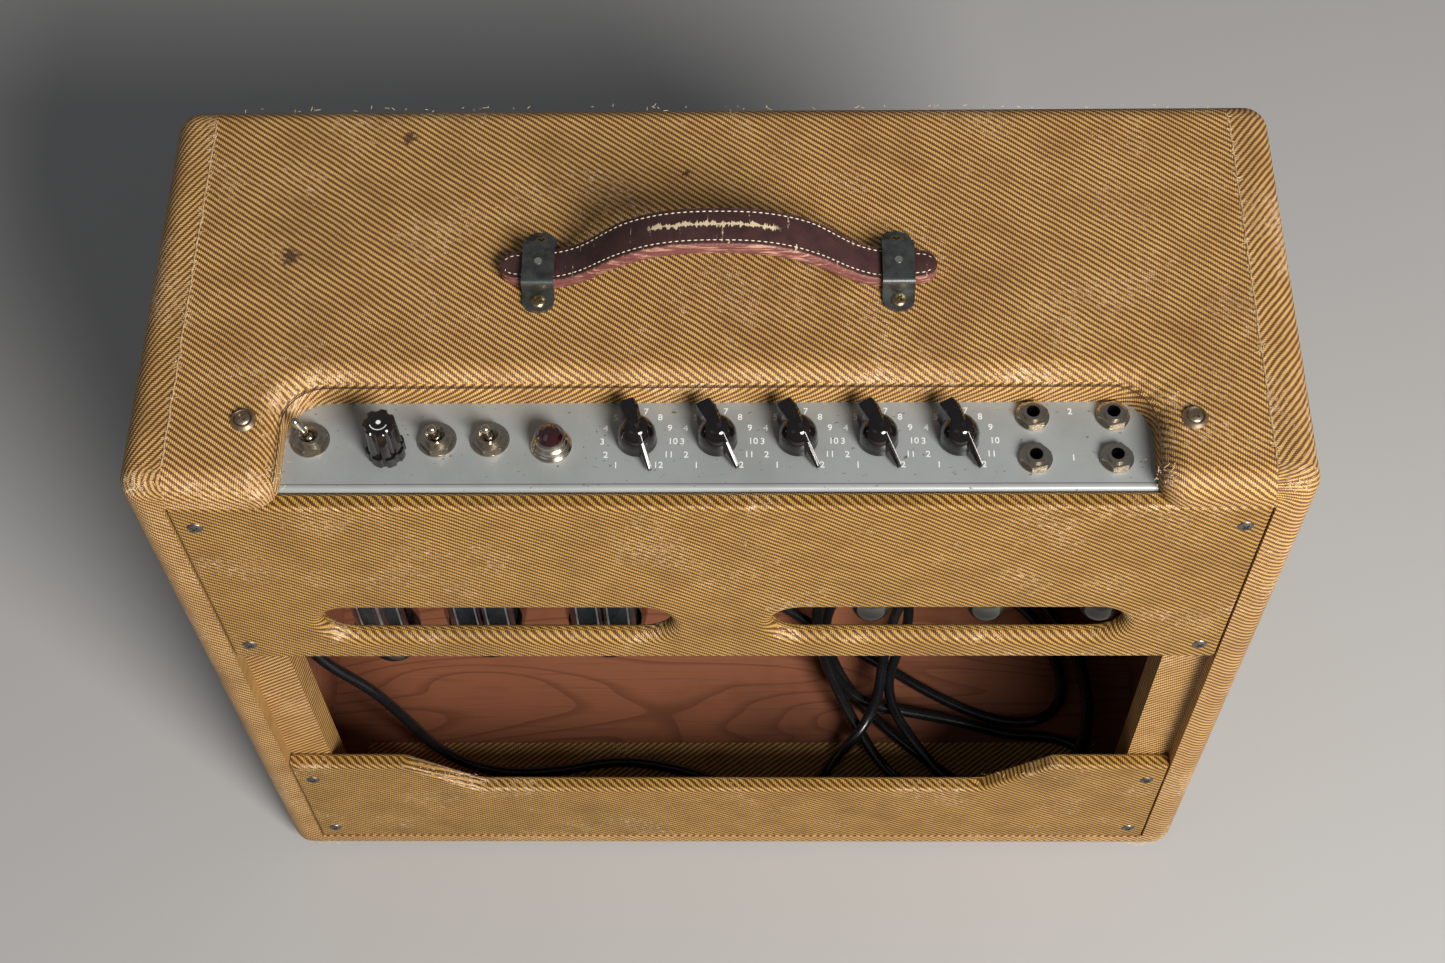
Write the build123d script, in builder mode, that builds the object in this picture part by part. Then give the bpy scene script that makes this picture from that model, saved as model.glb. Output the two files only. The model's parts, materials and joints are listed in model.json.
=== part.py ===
"""A valve guitar amplifier with two ten-inch speakers in a tweed-covered pine cabinet.

X runs across the cabinet, Y from the open back (-Y) to the grille (+Y) and Z up. The origin is on the
surface that the glides stand on, in the middle of the amplifier's box. All sizes are in millimetres.
"""

import os
from math import atan, cos, pi, radians, sin, tan

from build123d import *

# ---- driving dimensions: cabinet ----
CABINET_WIDTH = 558.8
CABINET_HEIGHT = 457.2
DEPTH_TOP = 228.6
DEPTH_BOTTOM = 266.7
BOARD = 19.05
CLOTH = 0.8
ROUND_OVER = 12.7
GLIDE_HEIGHT = 2.5
PANEL_SCREW_PROUD = 1.0

CAB_BOTTOM = GLIDE_HEIGHT
CAB_TOP = CAB_BOTTOM + CABINET_HEIGHT
LEAN = atan((DEPTH_BOTTOM - DEPTH_TOP) / CABINET_HEIGHT)
CORNER_LOSS = ROUND_OVER * ((1 + sin(LEAN)) / cos(LEAN) - 1)
BACK = -(DEPTH_BOTTOM - CORNER_LOSS - PANEL_SCREW_PROUD) / 2
INNER_HALF = CABINET_WIDTH / 2 - BOARD
FLOOR = CAB_BOTTOM + BOARD
CEILING = CAB_TOP - BOARD

# The opening in the top board that the controls are reached through
CUTOUT_HALF = 206.0
CUTOUT_DEPTH = 58.5
CUTOUT_CORNER = 20.0

# Back panels, cloth included, and the cleats they are screwed to
PANEL_THICKNESS = 9.5
PANEL_HALF = 259.0
PANEL_EDGE_ROUND = 2.4
UPPER_PANEL = (281.7, CEILING - 0.25)
LOWER_PANEL = (22.6, 133.0)
DIP_DEPTH = 35.0
DIP_HALF_BOTTOM = 151.0
DIP_HALF_TOP = 191.0
SLOT_LENGTH = 180.0
SLOT_HEIGHT = 32.0
SLOT_X = 116.0
SLOT_Z = 319.0
SLOT_ROUND = (6.4, 2.0)
CLEAT = (24.75, 19.0)
PANEL_SCREW_X = 248.5
PANEL_SCREW_Z = (423.0, 297.0, 114.0, 37.0)

# Chassis: a folded steel channel, open to the back, with the controls on its top
STEEL = 1.5
CHASSIS_HALF = 234.5
CHASSIS_BACK = BACK + 10.0
CHASSIS_DEPTH = 63.5
CHASSIS_BOTTOM = 335.0
CHASSIS_LIP = 12.0
CHASSIS_SCREW = (222.4, BACK + 37.5)
PANEL_TOP = CEILING

# Controls, as distances in from the back of the cabinet
KNOB_X = [-38.1, 0.0, 38.1, 76.2, 114.3]
KNOB_Y = BACK + 37.0
KNOB_POINTER = [-70.0, -60.0, -60.0, -60.0, -60.0]
SWITCH_X = [-194.0, -133.5, -108.3]
SWITCH_Y = BACK + 37.5
SWITCH_TILT = 17.0
FUSE = (-157.0, BACK + 31.5)
PILOT = (-79.0, BACK + 34.5)
JACK_X = [149.7, 187.8]
JACK_Y = [BACK + 26.5, BACK + 50.0]

# Valves hang from the chassis
OCTAL_X = [-185.0, -130.0, -64.0]
OCTAL_Y = BACK + 38.0
NINE_PIN_X = [79.0, 140.5, 200.5]
NINE_PIN_Y = BACK + 32.0

# Handle
HANDLE_Y = BACK + 121.0
HANDLE_WIDTH = 23.0
HANDLE_THICKNESS = 8.5
CLAMP_X = 87.0
CLAMP_SCREW_Y = 17.4

# Speakers on the leaning baffle: centre height and X of each
SPEAKERS = {"left": (-130.0, 203.0), "right": (130.0, 165.0)}
SPEAKER_RADIUS = 128.5
BAFFLE_THICKNESS = 9.5
FRONT_STRIP = (12.7, 50.0)
FRONT_RECESS = 3.0
GRILLE_THICKNESS = 1.0

# Mains cord
CORD_DIAMETER = 6.8
CORD_EXIT = (-222.0, BACK + 55.0, 306.0)
COIL_CENTRE = (141.0, BACK + 101.0)
COIL_RADII = (91.5, 87.0)
COIL_HOLE = 22.0
COIL_HEIGHT = 28.0
PLUG_AT = (34.0, BACK + 156.0)
PLUG_HEADING = 150.0
PLUG_RADIUS = 13.2

os.makedirs("parts", exist_ok=True)


def save(part, name):
    """Label one finished node and write its STEP file."""
    part.label = name
    export_step(part, f"parts/{name}.step")


def front_y(z):
    """Y of the cabinet's leaning front plane at a height."""
    return BACK + DEPTH_BOTTOM - (z - CAB_BOTTOM) * tan(LEAN)


def drilled(part, holes):
    """A part with round holes along Z or Y, each given as (location, radius, depth)."""
    with BuildPart() as done:
        add(part)
        for place, radius, depth in holes:
            with Locations(place):
                Cylinder(radius, depth, mode=Mode.SUBTRACT)
    return done.part


def group(part, places):
    """One node that holds the same piece at several places."""
    with BuildPart() as many:
        with Locations(*places):
            add(part)
    return many.part


# ---- cabinet ----
def cabinet_block(inset):
    """The cabinet's outer form with rounded edges and the control opening, shrunk by inset."""
    low, high = CAB_BOTTOM + inset, CAB_TOP - inset
    skin = inset / cos(LEAN)
    corner = CUTOUT_CORNER + inset
    wall_y = BACK + CUTOUT_DEPTH + inset
    with BuildPart() as block:
        with BuildSketch(Plane.YZ.offset(-CABINET_WIDTH / 2 + inset)):
            with BuildLine():
                Polyline(
                    (BACK + inset, low),
                    (front_y(low) - skin, low),
                    (front_y(high) - skin, high),
                    (BACK + inset, high),
                    close=True,
                )
            make_face()
        extrude(amount=CABINET_WIDTH - 2 * inset)
        with BuildSketch(Plane.XY.offset(CEILING - 5)):
            with Locations((0, wall_y - 100)):
                Rectangle(2 * (CUTOUT_HALF + inset), 200)
            fillet(vertices().group_by(Axis.Y)[-1], corner)
        extrude(amount=100, mode=Mode.SUBTRACT)
        kept_sharp = edges().filter_by(lambda e: abs(e.center().Z - (CEILING - 5)) < 0.01)
        wall_corners = edges().filter_by(Axis.Z).filter_by(
            lambda e: abs(e.center().Y - BACK) > CUTOUT_DEPTH - CUTOUT_CORNER - 1
            and e.center().Y < 0
            and abs(e.center().X) < CUTOUT_HALF + inset + 1
        )
        rounded = [e for e in edges() if e not in kept_sharp and e not in wall_corners]
        fillet(rounded, ROUND_OVER - inset)
        with Locations((0, 0, (FLOOR + CEILING) / 2)):
            Box(2 * INNER_HALF, 2 * DEPTH_BOTTOM, CEILING - FLOOR, mode=Mode.SUBTRACT)
    return block.part


def slab(part, low, high):
    """The stretch of a part between two heights."""
    with BuildPart() as cut:
        add(part)
        with Locations((0, 0, (low + high) / 2)):
            Box(2 * CABINET_WIDTH, 3 * DEPTH_BOTTOM, high - low, mode=Mode.INTERSECT)
    return cut.part


handle_screw_places = [
    Location((side * CLAMP_X, HANDLE_Y + way * CLAMP_SCREW_Y, CAB_TOP))
    for side in (-1, 1)
    for way in (-1, 1)
]
chassis_screw_places = [
    Location((side * CHASSIS_SCREW[0], CHASSIS_SCREW[1], CAB_TOP)) for side in (-1, 1)
]
glide_places = [
    Location((side * (INNER_HALF - 25), y, CAB_BOTTOM))
    for side in (-1, 1)
    for y in (BACK + 32, BACK + DEPTH_BOTTOM - 40)
]
top_holes = [(p, 1.8, 60) for p in handle_screw_places]
top_holes += [(p, 2.6, 60) for p in chassis_screw_places]
glide_holes = [(p, 1.3, 30) for p in glide_places]

covered = cabinet_block(0)
bare = cabinet_block(CLOTH)
save(drilled(slab(bare, CEILING, CAB_TOP + 1), top_holes), "top_board")
save(drilled(slab(bare, 0, FLOOR), glide_holes), "bottom_board")
walls = slab(bare, FLOOR, CEILING).solids().sort_by(Axis.X)
save(walls[0], "left_side_board")
save(walls[-1], "right_side_board")

with BuildPart() as skin:
    add(covered)
    add(bare, mode=Mode.SUBTRACT)
    with Locations((0, BACK + 32, FLOOR + CLOTH / 2)):
        Box(2 * (INNER_HALF - CLEAT[0]) - 0.4, 64, CLOTH)
    for side in (-1, 1):
        with Locations((side * (INNER_HALF - CLOTH / 2), BACK + PANEL_THICKNESS / 2, (FLOOR + CEILING) / 2)):
            Box(CLOTH, PANEL_THICKNESS, CEILING - FLOOR)
save(drilled(skin.part, top_holes + glide_holes), "cabinet_tweed")

with BuildPart() as side_cleats:
    for side in (-1, 1):
        with Locations((side * (INNER_HALF - CLEAT[0] / 2), BACK + PANEL_THICKNESS + CLEAT[1] / 2,
                        (FLOOR + CEILING) / 2)):
            Box(*CLEAT, CEILING - FLOOR)

# ---- back panels ----
panel_screw_places = [
    Location((side * PANEL_SCREW_X, BACK, z), (90, 0, 0)) for side in (-1, 1) for z in PANEL_SCREW_Z
]
screw_holes = [(p, 1.75, 70) for p in panel_screw_places]
save(drilled(side_cleats.part, screw_holes), "side_cleats")


def upper_panel(inset):
    """The upper back panel with its two vent slots, shrunk by inset all round."""
    low, high = UPPER_PANEL
    depth = PANEL_THICKNESS - 2 * inset
    with BuildPart() as panel:
        with BuildSketch(Plane.XZ.offset(-BACK - inset)):
            with Locations((0, (low + high) / 2)):
                Rectangle(2 * (PANEL_HALF - inset), high - low - 2 * inset)
        extrude(amount=-depth)
        fillet(edges(), PANEL_EDGE_ROUND - inset)
        with BuildSketch(Plane.XZ.offset(-BACK + 1)):
            with Locations((-SLOT_X, SLOT_Z), (SLOT_X, SLOT_Z)):
                SlotOverall(SLOT_LENGTH + 2 * inset, SLOT_HEIGHT + 2 * inset)
        extrude(amount=-PANEL_THICKNESS - 2, mode=Mode.SUBTRACT)
        rims = edges().filter_by(
            lambda e: abs(e.center().Z - SLOT_Z) <= SLOT_HEIGHT / 2 + inset + 0.01
            and abs(e.center().X) < PANEL_HALF - 10
            and e.length > PANEL_THICKNESS
        )
        for rim, radius in zip((rims.group_by(Axis.Y)[0], rims.group_by(Axis.Y)[-1]), SLOT_ROUND):
            fillet(rim, radius - inset)
    return panel.part


def lower_panel(inset):
    """The lower back panel with its long shallow dip, shrunk by inset all round."""
    low, high = LOWER_PANEL
    half = PANEL_HALF - inset
    lean_in = inset * 0.75
    with BuildPart() as panel:
        with BuildSketch(Plane.XZ.offset(-BACK - inset)):
            with BuildLine():
                Polyline(
                    (-half, low + inset),
                    (half, low + inset),
                    (half, high - inset),
                    (DIP_HALF_TOP + lean_in, high - inset),
                    (DIP_HALF_BOTTOM + lean_in, high - DIP_DEPTH - inset),
                    (-DIP_HALF_BOTTOM - lean_in, high - DIP_DEPTH - inset),
                    (-DIP_HALF_TOP - lean_in, high - inset),
                    (-half, high - inset),
                    close=True,
                )
            make_face()
        extrude(amount=-(PANEL_THICKNESS - 2 * inset))
        dips = edges().filter_by(Axis.Y).filter_by(lambda e: abs(e.center().X) < DIP_HALF_TOP + 5)
        fillet(dips, 10)
        fillet(edges().filter_by(lambda e: abs(e.tangent_at(0.5).Y) < 0.5), PANEL_EDGE_ROUND - inset)
    return panel.part


for name, shape in (("upper_back", upper_panel), ("lower_back", lower_panel)):
    outside, board = shape(0), shape(CLOTH)
    with BuildPart() as tweed:
        add(outside)
        add(board, mode=Mode.SUBTRACT)
    save(drilled(board, screw_holes), f"{name}_board")
    save(drilled(tweed.part, screw_holes), f"{name}_tweed")


def screw(head_radius, proud, shank_radius, length):
    """An oval-headed screw with its head's rim at Z 0, pointing down, with a cross recess."""
    with BuildPart() as one:
        with BuildSketch(Plane.XZ):
            with BuildLine():
                dome = [(1.0, 0), (0.93, 0.4), (0.8, 0.7), (0.6, 0.9), (0.35, 1.0), (0, 1.0)]
                head = [(head_radius * r, proud * z) for r, z in dome]
                shank = [(0, -length), (0.6, -length), (shank_radius, -length + 3), (shank_radius, 0)]
                Polyline(*head, *shank, close=True)
            make_face()
        revolve(axis=Axis.Z)
        for turn in (45, 135):
            with Locations(Location((0, 0, proud), (0, 0, turn))):
                Box(head_radius * 1.1, head_radius * 0.24, proud * 1.1, mode=Mode.SUBTRACT)
    return one.part


panel_screw = screw(3.9, PANEL_SCREW_PROUD, 1.7, 26)
save(group(panel_screw, panel_screw_places), "back_panel_screws")

# ---- handle ----
with BuildPart() as strap:
    with BuildSketch(Plane.XZ.offset(-HANDLE_Y - HANDLE_WIDTH / 2)):
        with BuildLine():
            arch = [(-107, 4.2), (-93, 4.3), (-79, 4.5), (-66, 9.5), (-50, 21.5), (-28, 31.5), (0, 34.4)]
            arch += [(-x, z) for x, z in reversed(arch[:-1])]
            half = HANDLE_THICKNESS / 2
            halves = [3.2, 3.5, 3.6, 4.0] + [half] * 5 + [4.0, 3.6, 3.5, 3.2]
            over = Spline(*[(x, CAB_TOP + z + h) for (x, z), h in zip(arch, halves)])
            under = Spline(*[(x, CAB_TOP + z - h) for (x, z), h in zip(arch, halves)])
            Line(over @ 0, under @ 0)
            Line(over @ 1, under @ 1)
        make_face()
    extrude(amount=HANDLE_WIDTH)
    with BuildSketch(Plane.XY.offset(CAB_TOP - 1)):
        with BuildLine():
            side = [(-97, 8.6), (-86, 9.9), (-66, 10.4), (-45, 11.5), (0, HANDLE_WIDTH / 2)]
            side += [(-x, y) for x, y in reversed(side[:-1])]
            far = Spline(*[(x, HANDLE_Y + y) for x, y in side])
            near = Spline(*[(x, HANDLE_Y - y) for x, y in side])
            ThreePointArc(near @ 0, (-106, HANDLE_Y), far @ 0)
            ThreePointArc(near @ 1, (106, HANDLE_Y), far @ 1)
        make_face()
    extrude(amount=60, mode=Mode.INTERSECT)
save(strap.part, "handle_strap")

CLAMP_STEEL = 1.6
CLAMP_WIDTH = 15.5
CLAMP_BRIDGE = (11.4, 10.6)
CLAMP_REACH = 23.2
with BuildPart() as clamp:
    with BuildSketch(Plane.YZ.offset(-CLAMP_WIDTH / 2)):
        with BuildLine():
            half, rise = CLAMP_BRIDGE
            Polyline(
                (-CLAMP_REACH, CAB_TOP),
                (-half, CAB_TOP),
                (-half, CAB_TOP + rise - CLAMP_STEEL),
                (half, CAB_TOP + rise - CLAMP_STEEL),
                (half, CAB_TOP),
                (CLAMP_REACH, CAB_TOP),
                (CLAMP_REACH, CAB_TOP + CLAMP_STEEL),
                (half + CLAMP_STEEL, CAB_TOP + CLAMP_STEEL),
                (half + CLAMP_STEEL, CAB_TOP + rise),
                (-half - CLAMP_STEEL, CAB_TOP + rise),
                (-half - CLAMP_STEEL, CAB_TOP + CLAMP_STEEL),
                (-CLAMP_REACH, CAB_TOP + CLAMP_STEEL),
                close=True,
            )
        make_face()
    extrude(amount=CLAMP_WIDTH)
    shoulders = edges().filter_by(Axis.X).group_by(Axis.Z)[-1]
    fillet(shoulders, 2.4)
    fillet(edges().filter_by(Axis.Z).filter_by(lambda e: abs(e.center().Y) > 20), 6.5)
    with Locations((0, 0, CAB_TOP + CLAMP_BRIDGE[1] - 0.2)):
        Cylinder(1.9, 1.4)
    with Locations((0, -CLAMP_SCREW_Y, CAB_TOP), (0, CLAMP_SCREW_Y, CAB_TOP)):
        Cylinder(1.9, 10, mode=Mode.SUBTRACT)
save(group(clamp.part, [Location((side * CLAMP_X, HANDLE_Y, 0)) for side in (-1, 1)]), "handle_clamps")
handle_screw = screw(3.9, 1.6, 1.7, 18)
save(group(handle_screw, [p * Pos(0, 0, CLAMP_STEEL) for p in handle_screw_places]), "handle_screws")

# ---- chassis ----
chassis_mid_y = CHASSIS_BACK + CHASSIS_DEPTH / 2
chassis_mid_z = (CHASSIS_BOTTOM + PANEL_TOP) / 2
chassis_high = PANEL_TOP - CHASSIS_BOTTOM
knob_places = [(x, KNOB_Y) for x in KNOB_X]
switch_places = [(x, SWITCH_Y) for x in SWITCH_X]
jack_places = [(x, y) for x in JACK_X for y in JACK_Y]
octal_places = [(x, OCTAL_Y) for x in OCTAL_X]
nine_pin_places = [(x, NINE_PIN_Y) for x in NINE_PIN_X]
chassis_screw_xy = [(side * CHASSIS_SCREW[0], CHASSIS_SCREW[1]) for side in (-1, 1)]
BUSHING = 4.7
SWITCH_BUSHING = 5.9
FUSE_BARREL = 6.6
PILOT_BARREL = 7.9
OCTAL_HOLE = 14.6
NINE_PIN_HOLE = 9.4
RELIEF_NECK = 5.0

with BuildPart() as chassis:
    with Locations((0, chassis_mid_y, chassis_mid_z)):
        Box(2 * CHASSIS_HALF, CHASSIS_DEPTH, chassis_high)
    fillet(edges().filter_by(Axis.X), 2.6)
    with Locations((0, chassis_mid_y, chassis_mid_z)):
        Box(2 * (CHASSIS_HALF - STEEL), CHASSIS_DEPTH - 2 * STEEL, chassis_high - 2 * STEEL,
            mode=Mode.SUBTRACT)
    with Locations((0, CHASSIS_BACK, chassis_mid_z)):
        Box(2 * (CHASSIS_HALF - CHASSIS_LIP), 8, chassis_high - 2 * CHASSIS_LIP, mode=Mode.SUBTRACT)
    top_openings = (
        (knob_places + jack_places, BUSHING),
        (switch_places, SWITCH_BUSHING),
        ([FUSE], FUSE_BARREL),
        ([PILOT], PILOT_BARREL),
        (chassis_screw_xy, 2.6),
    )
    bottom_openings = (
        (octal_places, OCTAL_HOLE),
        (nine_pin_places, NINE_PIN_HOLE),
        ([CORD_EXIT[:2]], RELIEF_NECK),
    )
    for height, openings in ((PANEL_TOP, top_openings), (CHASSIS_BOTTOM, bottom_openings)):
        for places, radius in openings:
            with Locations(*[(x, y, height) for x, y in places]):
                Cylinder(radius + 0.05, 4 * STEEL, mode=Mode.SUBTRACT)
save(chassis.part, "chassis")

with BuildPart() as cup_washer:
    with BuildSketch(Plane.XZ):
        with BuildLine():
            Polyline((2.6, 0), (6.3, 0), (5.2, 1.7), (4.5, 1.9), (4.0, 1.0), (2.6, 0.8), close=True)
        make_face()
    revolve(axis=Axis.Z)
chassis_screw = screw(4.0, 1.7, 2.5, 30)
chassis_fasteners = [p * cup_washer.part for p in chassis_screw_places]
chassis_fasteners += [p * Pos(0, 0, 1.0) * chassis_screw for p in chassis_screw_places]
save(Compound(children=chassis_fasteners), "chassis_screws_and_washers")

# ---- nuts that clamp the controls to the panel ----
POT_NUT = (7.3, 2.2)
SWITCH_NUT = (8.6, 2.4)
SWITCH_WASHER = (9.4, 0.8)
JACK_NUT = (7.5, 2.6)
JACK_WASHER = (8.1, 0.8)


def hex_nut(nut, washer, bore):
    """A hexagonal nut on a round washer, standing on the plane Z 0."""
    with BuildPart() as pair:
        with BuildSketch():
            Circle(washer[0])
            Circle(bore, mode=Mode.SUBTRACT)
        extrude(amount=washer[1])
        with BuildSketch(Plane.XY.offset(washer[1])):
            RegularPolygon(nut[0], 6, rotation=13)
            Circle(bore, mode=Mode.SUBTRACT)
        extrude(amount=nut[1])
    return pair.part


with BuildPart() as panel_nuts:
    for places, kind in (
        (knob_places, hex_nut(POT_NUT, (7.4, 0.6), BUSHING)),
        (switch_places, hex_nut(SWITCH_NUT, SWITCH_WASHER, SWITCH_BUSHING)),
        (jack_places, hex_nut(JACK_NUT, JACK_WASHER, BUSHING)),
    ):
        with Locations(*[(x, y, PANEL_TOP) for x, y in places]):
            add(kind)
save(panel_nuts.part, "panel_nuts")

# ---- tone and volume controls ----
SHAFT = 3.15
KNOB_LIFT = 1.2
UNDER_PANEL = PANEL_TOP - STEEL
with BuildPart() as pot_bodies:
    with BuildSketch(Plane.XY.offset(UNDER_PANEL)):
        with Locations(*knob_places):
            Circle(12.2)
    extrude(amount=-11)
    with BuildSketch(Plane.XY.offset(UNDER_PANEL)):
        with Locations(*knob_places):
            Circle(BUSHING)
    extrude(amount=STEEL + 4.4)
    with BuildSketch(Plane.XY.offset(PANEL_TOP + 10)):
        with Locations(*knob_places):
            Circle(SHAFT + 0.06)
    extrude(amount=-16, mode=Mode.SUBTRACT)
save(pot_bodies.part, "potentiometers")

KNOB_RADIUS = 9.5
KNOB_SKIRT = 3.0
KNOB_DOME = 15.4
# The pointer ridge at five places along it: X, half width, crest's half width, shoulder and crest heights
POINTER_SECTIONS = [
    (-13.6, 3.7, 3.0, 15.4, 16.1),
    (-8.5, 4.1, 3.1, 16.2, 17.0),
    (1.2, 3.0, 1.1, 13.8, 16.4),
    (9.3, 1.9, 0.5, 7.2, 10.7),
    (18.6, 0.9, 0.35, 1.6, 2.5),
]
with BuildPart() as knob:
    for x, half, crest, shoulder, high in POINTER_SECTIONS:
        with BuildSketch(Plane.YZ.offset(x)):
            with BuildLine():
                Polyline((-half, 0.6), (half, 0.6), (half, shoulder), (crest, high), (-crest, high),
                         (-half, shoulder), close=True)
            make_face()
    loft(ruled=True)
    with BuildSketch(Plane.XZ):
        with BuildLine():
            skirt = Polyline((0, KNOB_DOME), (0, 0), (KNOB_RADIUS, 0), (KNOB_RADIUS - 0.3, KNOB_SKIRT))
            Spline(skirt @ 1, (KNOB_RADIUS - 0.7, 7.8), (KNOB_RADIUS - 3.1, 12.8), (0, KNOB_DOME),
                   tangents=[(0, 1), (-1, 0)])
        make_face()
    revolve(axis=Axis.Z)
    with BuildSketch(Plane.XY):
        Circle(8.0)
    extrude(amount=3.6, mode=Mode.SUBTRACT)
    with BuildSketch(Plane.XY):
        Circle(SHAFT)
    extrude(amount=10.5, mode=Mode.SUBTRACT)
with BuildPart() as shaft:
    with BuildSketch(Plane.XY.offset(-5)):
        Circle(SHAFT)
    extrude(amount=15.5)
for index, (x, turn) in enumerate(zip(KNOB_X, KNOB_POINTER), start=1):
    place = Location((x, KNOB_Y, PANEL_TOP + KNOB_LIFT), (0, 0, turn))
    save(Compound(children=[place * knob.part, place * shaft.part]), f"knob_{index}")

# ---- toggle switches ----
LEVER_PIVOT = PANEL_TOP + 3.0
with BuildPart() as switch_bodies:
    with BuildSketch(Plane.XY.offset(UNDER_PANEL)):
        with Locations(*switch_places):
            Rectangle(17, 27)
    extrude(amount=-19)
    with BuildSketch(Plane.XY.offset(UNDER_PANEL)):
        with Locations(*switch_places):
            Circle(SWITCH_BUSHING)
    extrude(amount=STEEL + 6.2)
    for x, y in switch_places:
        with BuildSketch(Plane.XZ.offset(-y)):
            with BuildLine():
                Polyline(
                    (x, LEVER_PIVOT - 4.2),
                    (x + 3.3, LEVER_PIVOT - 4.2),
                    (x + 3.3, LEVER_PIVOT + 1.6),
                    (x + 4.6, PANEL_TOP + 6.3),
                    (x, PANEL_TOP + 6.3),
                    close=True,
                )
            make_face()
        revolve(axis=Axis((x, y, 0), (0, 0, 1)), mode=Mode.SUBTRACT)
save(switch_bodies.part, "toggle_switch_bodies")

with BuildPart() as lever:
    with BuildSketch(Plane.XZ):
        with BuildLine():
            ball = CenterArc((0, 0), 2.6, -90, 150)
            Line(ball @ 1, (2.2, 15.0))
            CenterArc((0, 15.0), 2.2, 0, 90)
            Line((0, 17.2), (0, -2.6))
        make_face()
    revolve(axis=Axis.Z)
lever_tilts = {"ground": (0, -SWITCH_TILT, 0), "power": (SWITCH_TILT, 0, 0), "standby": (SWITCH_TILT, 0, 0)}
for (name, tilt), x in zip(lever_tilts.items(), SWITCH_X):
    save(Location((x, SWITCH_Y, LEVER_PIVOT), tilt) * lever.part, f"{name}_switch_lever")

# ---- fuse holder ----
FUSE_COLLAR = (9.3, 6.4)
FUSE_CAP = (8.4, 19.6)
FUSE_BORE = 5.0
with BuildPart() as fuse_holder:
    with BuildSketch(Plane.XY.offset(PANEL_TOP)):
        with Locations(FUSE):
            Circle(FUSE_COLLAR[0])
            with PolarLocations(FUSE_COLLAR[0] + 0.9, 8):
                Circle(1.9, mode=Mode.SUBTRACT)
    extrude(amount=FUSE_COLLAR[1])
    with BuildSketch(Plane.XY.offset(PANEL_TOP)):
        with Locations(FUSE):
            Circle(FUSE_BARREL)
    extrude(amount=-46)
    with BuildSketch(Plane.XY.offset(PANEL_TOP + FUSE_COLLAR[1])):
        with Locations(FUSE):
            Circle(FUSE_BORE + 0.3)
    extrude(amount=-48, mode=Mode.SUBTRACT)
save(fuse_holder.part, "fuse_holder")
CAP_BASE = PANEL_TOP + FUSE_COLLAR[1] + 0.4
with BuildPart() as fuse_cap:
    with BuildSketch(Plane.XY.offset(CAP_BASE)):
        with Locations(FUSE):
            Circle(FUSE_CAP[0])
            with PolarLocations(FUSE_CAP[0] + 0.6, 7):
                Circle(1.7, mode=Mode.SUBTRACT)
    extrude(amount=FUSE_CAP[1], taper=2)
    chamfer(faces().sort_by(Axis.Z)[-1].edges(), 0.7)
    with BuildSketch(Plane.XY.offset(CAP_BASE)):
        with Locations(FUSE):
            Circle(FUSE_BORE)
    extrude(amount=-14)
    with BuildSketch(Plane.XY.offset(CAP_BASE - 14)):
        with Locations(FUSE):
            Circle(3.25)
    extrude(amount=10, mode=Mode.SUBTRACT)
save(fuse_cap.part, "fuse_cap")
with BuildPart() as fuse:
    with BuildSketch(Plane.XY.offset(CAP_BASE - 4)):
        with Locations(FUSE):
            Circle(3.2)
    extrude(amount=-32)
save(fuse.part, "fuse")

# ---- pilot lamp ----
with BuildPart() as pilot_bezel:
    with BuildSketch(Plane.XZ.offset(-PILOT[1])):
        with BuildLine():
            steps = [(5.2, -22), (PILOT_BARREL, -22), (PILOT_BARREL, 0), (9.9, 0), (9.9, 0.9), (9.0, 2.0)]
            steps += [(8.4, 2.4), (8.4, 5.0), (7.4, 6.0), (7.4, 8.6), (6.9, 9.4), (6.3, 9.4), (6.3, 4.0)]
            steps += [(5.2, 4.0)]
            Polyline(*[(PILOT[0] + r, PANEL_TOP + z) for r, z in steps], close=True)
        make_face()
    revolve(axis=Axis((*PILOT, 0), (0, 0, 1)))
save(pilot_bezel.part, "pilot_bezel")
with BuildPart() as pilot_jewel:
    with BuildSketch(Plane.XZ):
        with BuildLine():
            Polyline((0, 0), (6.25, 0), (6.25, 5.6), (4.9, 8.0), (2.4, 9.6), (0, 9.6), close=True)
        make_face()
    revolve(axis=Axis.Z)
save(Location((*PILOT, PANEL_TOP + 4.0)) * pilot_jewel.part, "pilot_jewel")
with BuildPart() as pilot_bulb:
    with BuildSketch(Plane.XY.offset(PANEL_TOP - 20)):
        with Locations(PILOT):
            Circle(4.6)
    extrude(amount=22)
    fillet(edges().group_by(Axis.Z)[-1], 4.2)
save(pilot_bulb.part, "pilot_bulb")

# ---- input jacks ----
JACK_BORE = 3.2
JACK_SLEEVE = (9.0, 4.9)
with BuildPart() as input_jacks:
    with BuildSketch(Plane.XY.offset(UNDER_PANEL)):
        with Locations(*jack_places):
            Circle(8.2)
    extrude(amount=-2)
    with BuildSketch(Plane.XY.offset(PANEL_TOP - JACK_SLEEVE[0])):
        with Locations(*jack_places):
            Circle(BUSHING)
    extrude(amount=sum(JACK_SLEEVE))
    with BuildSketch(Plane.XY.offset(PANEL_TOP + 6)):
        with Locations(*jack_places):
            Circle(JACK_BORE)
    extrude(amount=-20, mode=Mode.SUBTRACT)
    with BuildSketch(Plane.XY.offset(UNDER_PANEL - 2)):
        with Locations(*[(x + 6.6, y) for x, y in jack_places]):
            Rectangle(1.6, 9)
    extrude(amount=-26)
save(input_jacks.part, "input_jacks")

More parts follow.
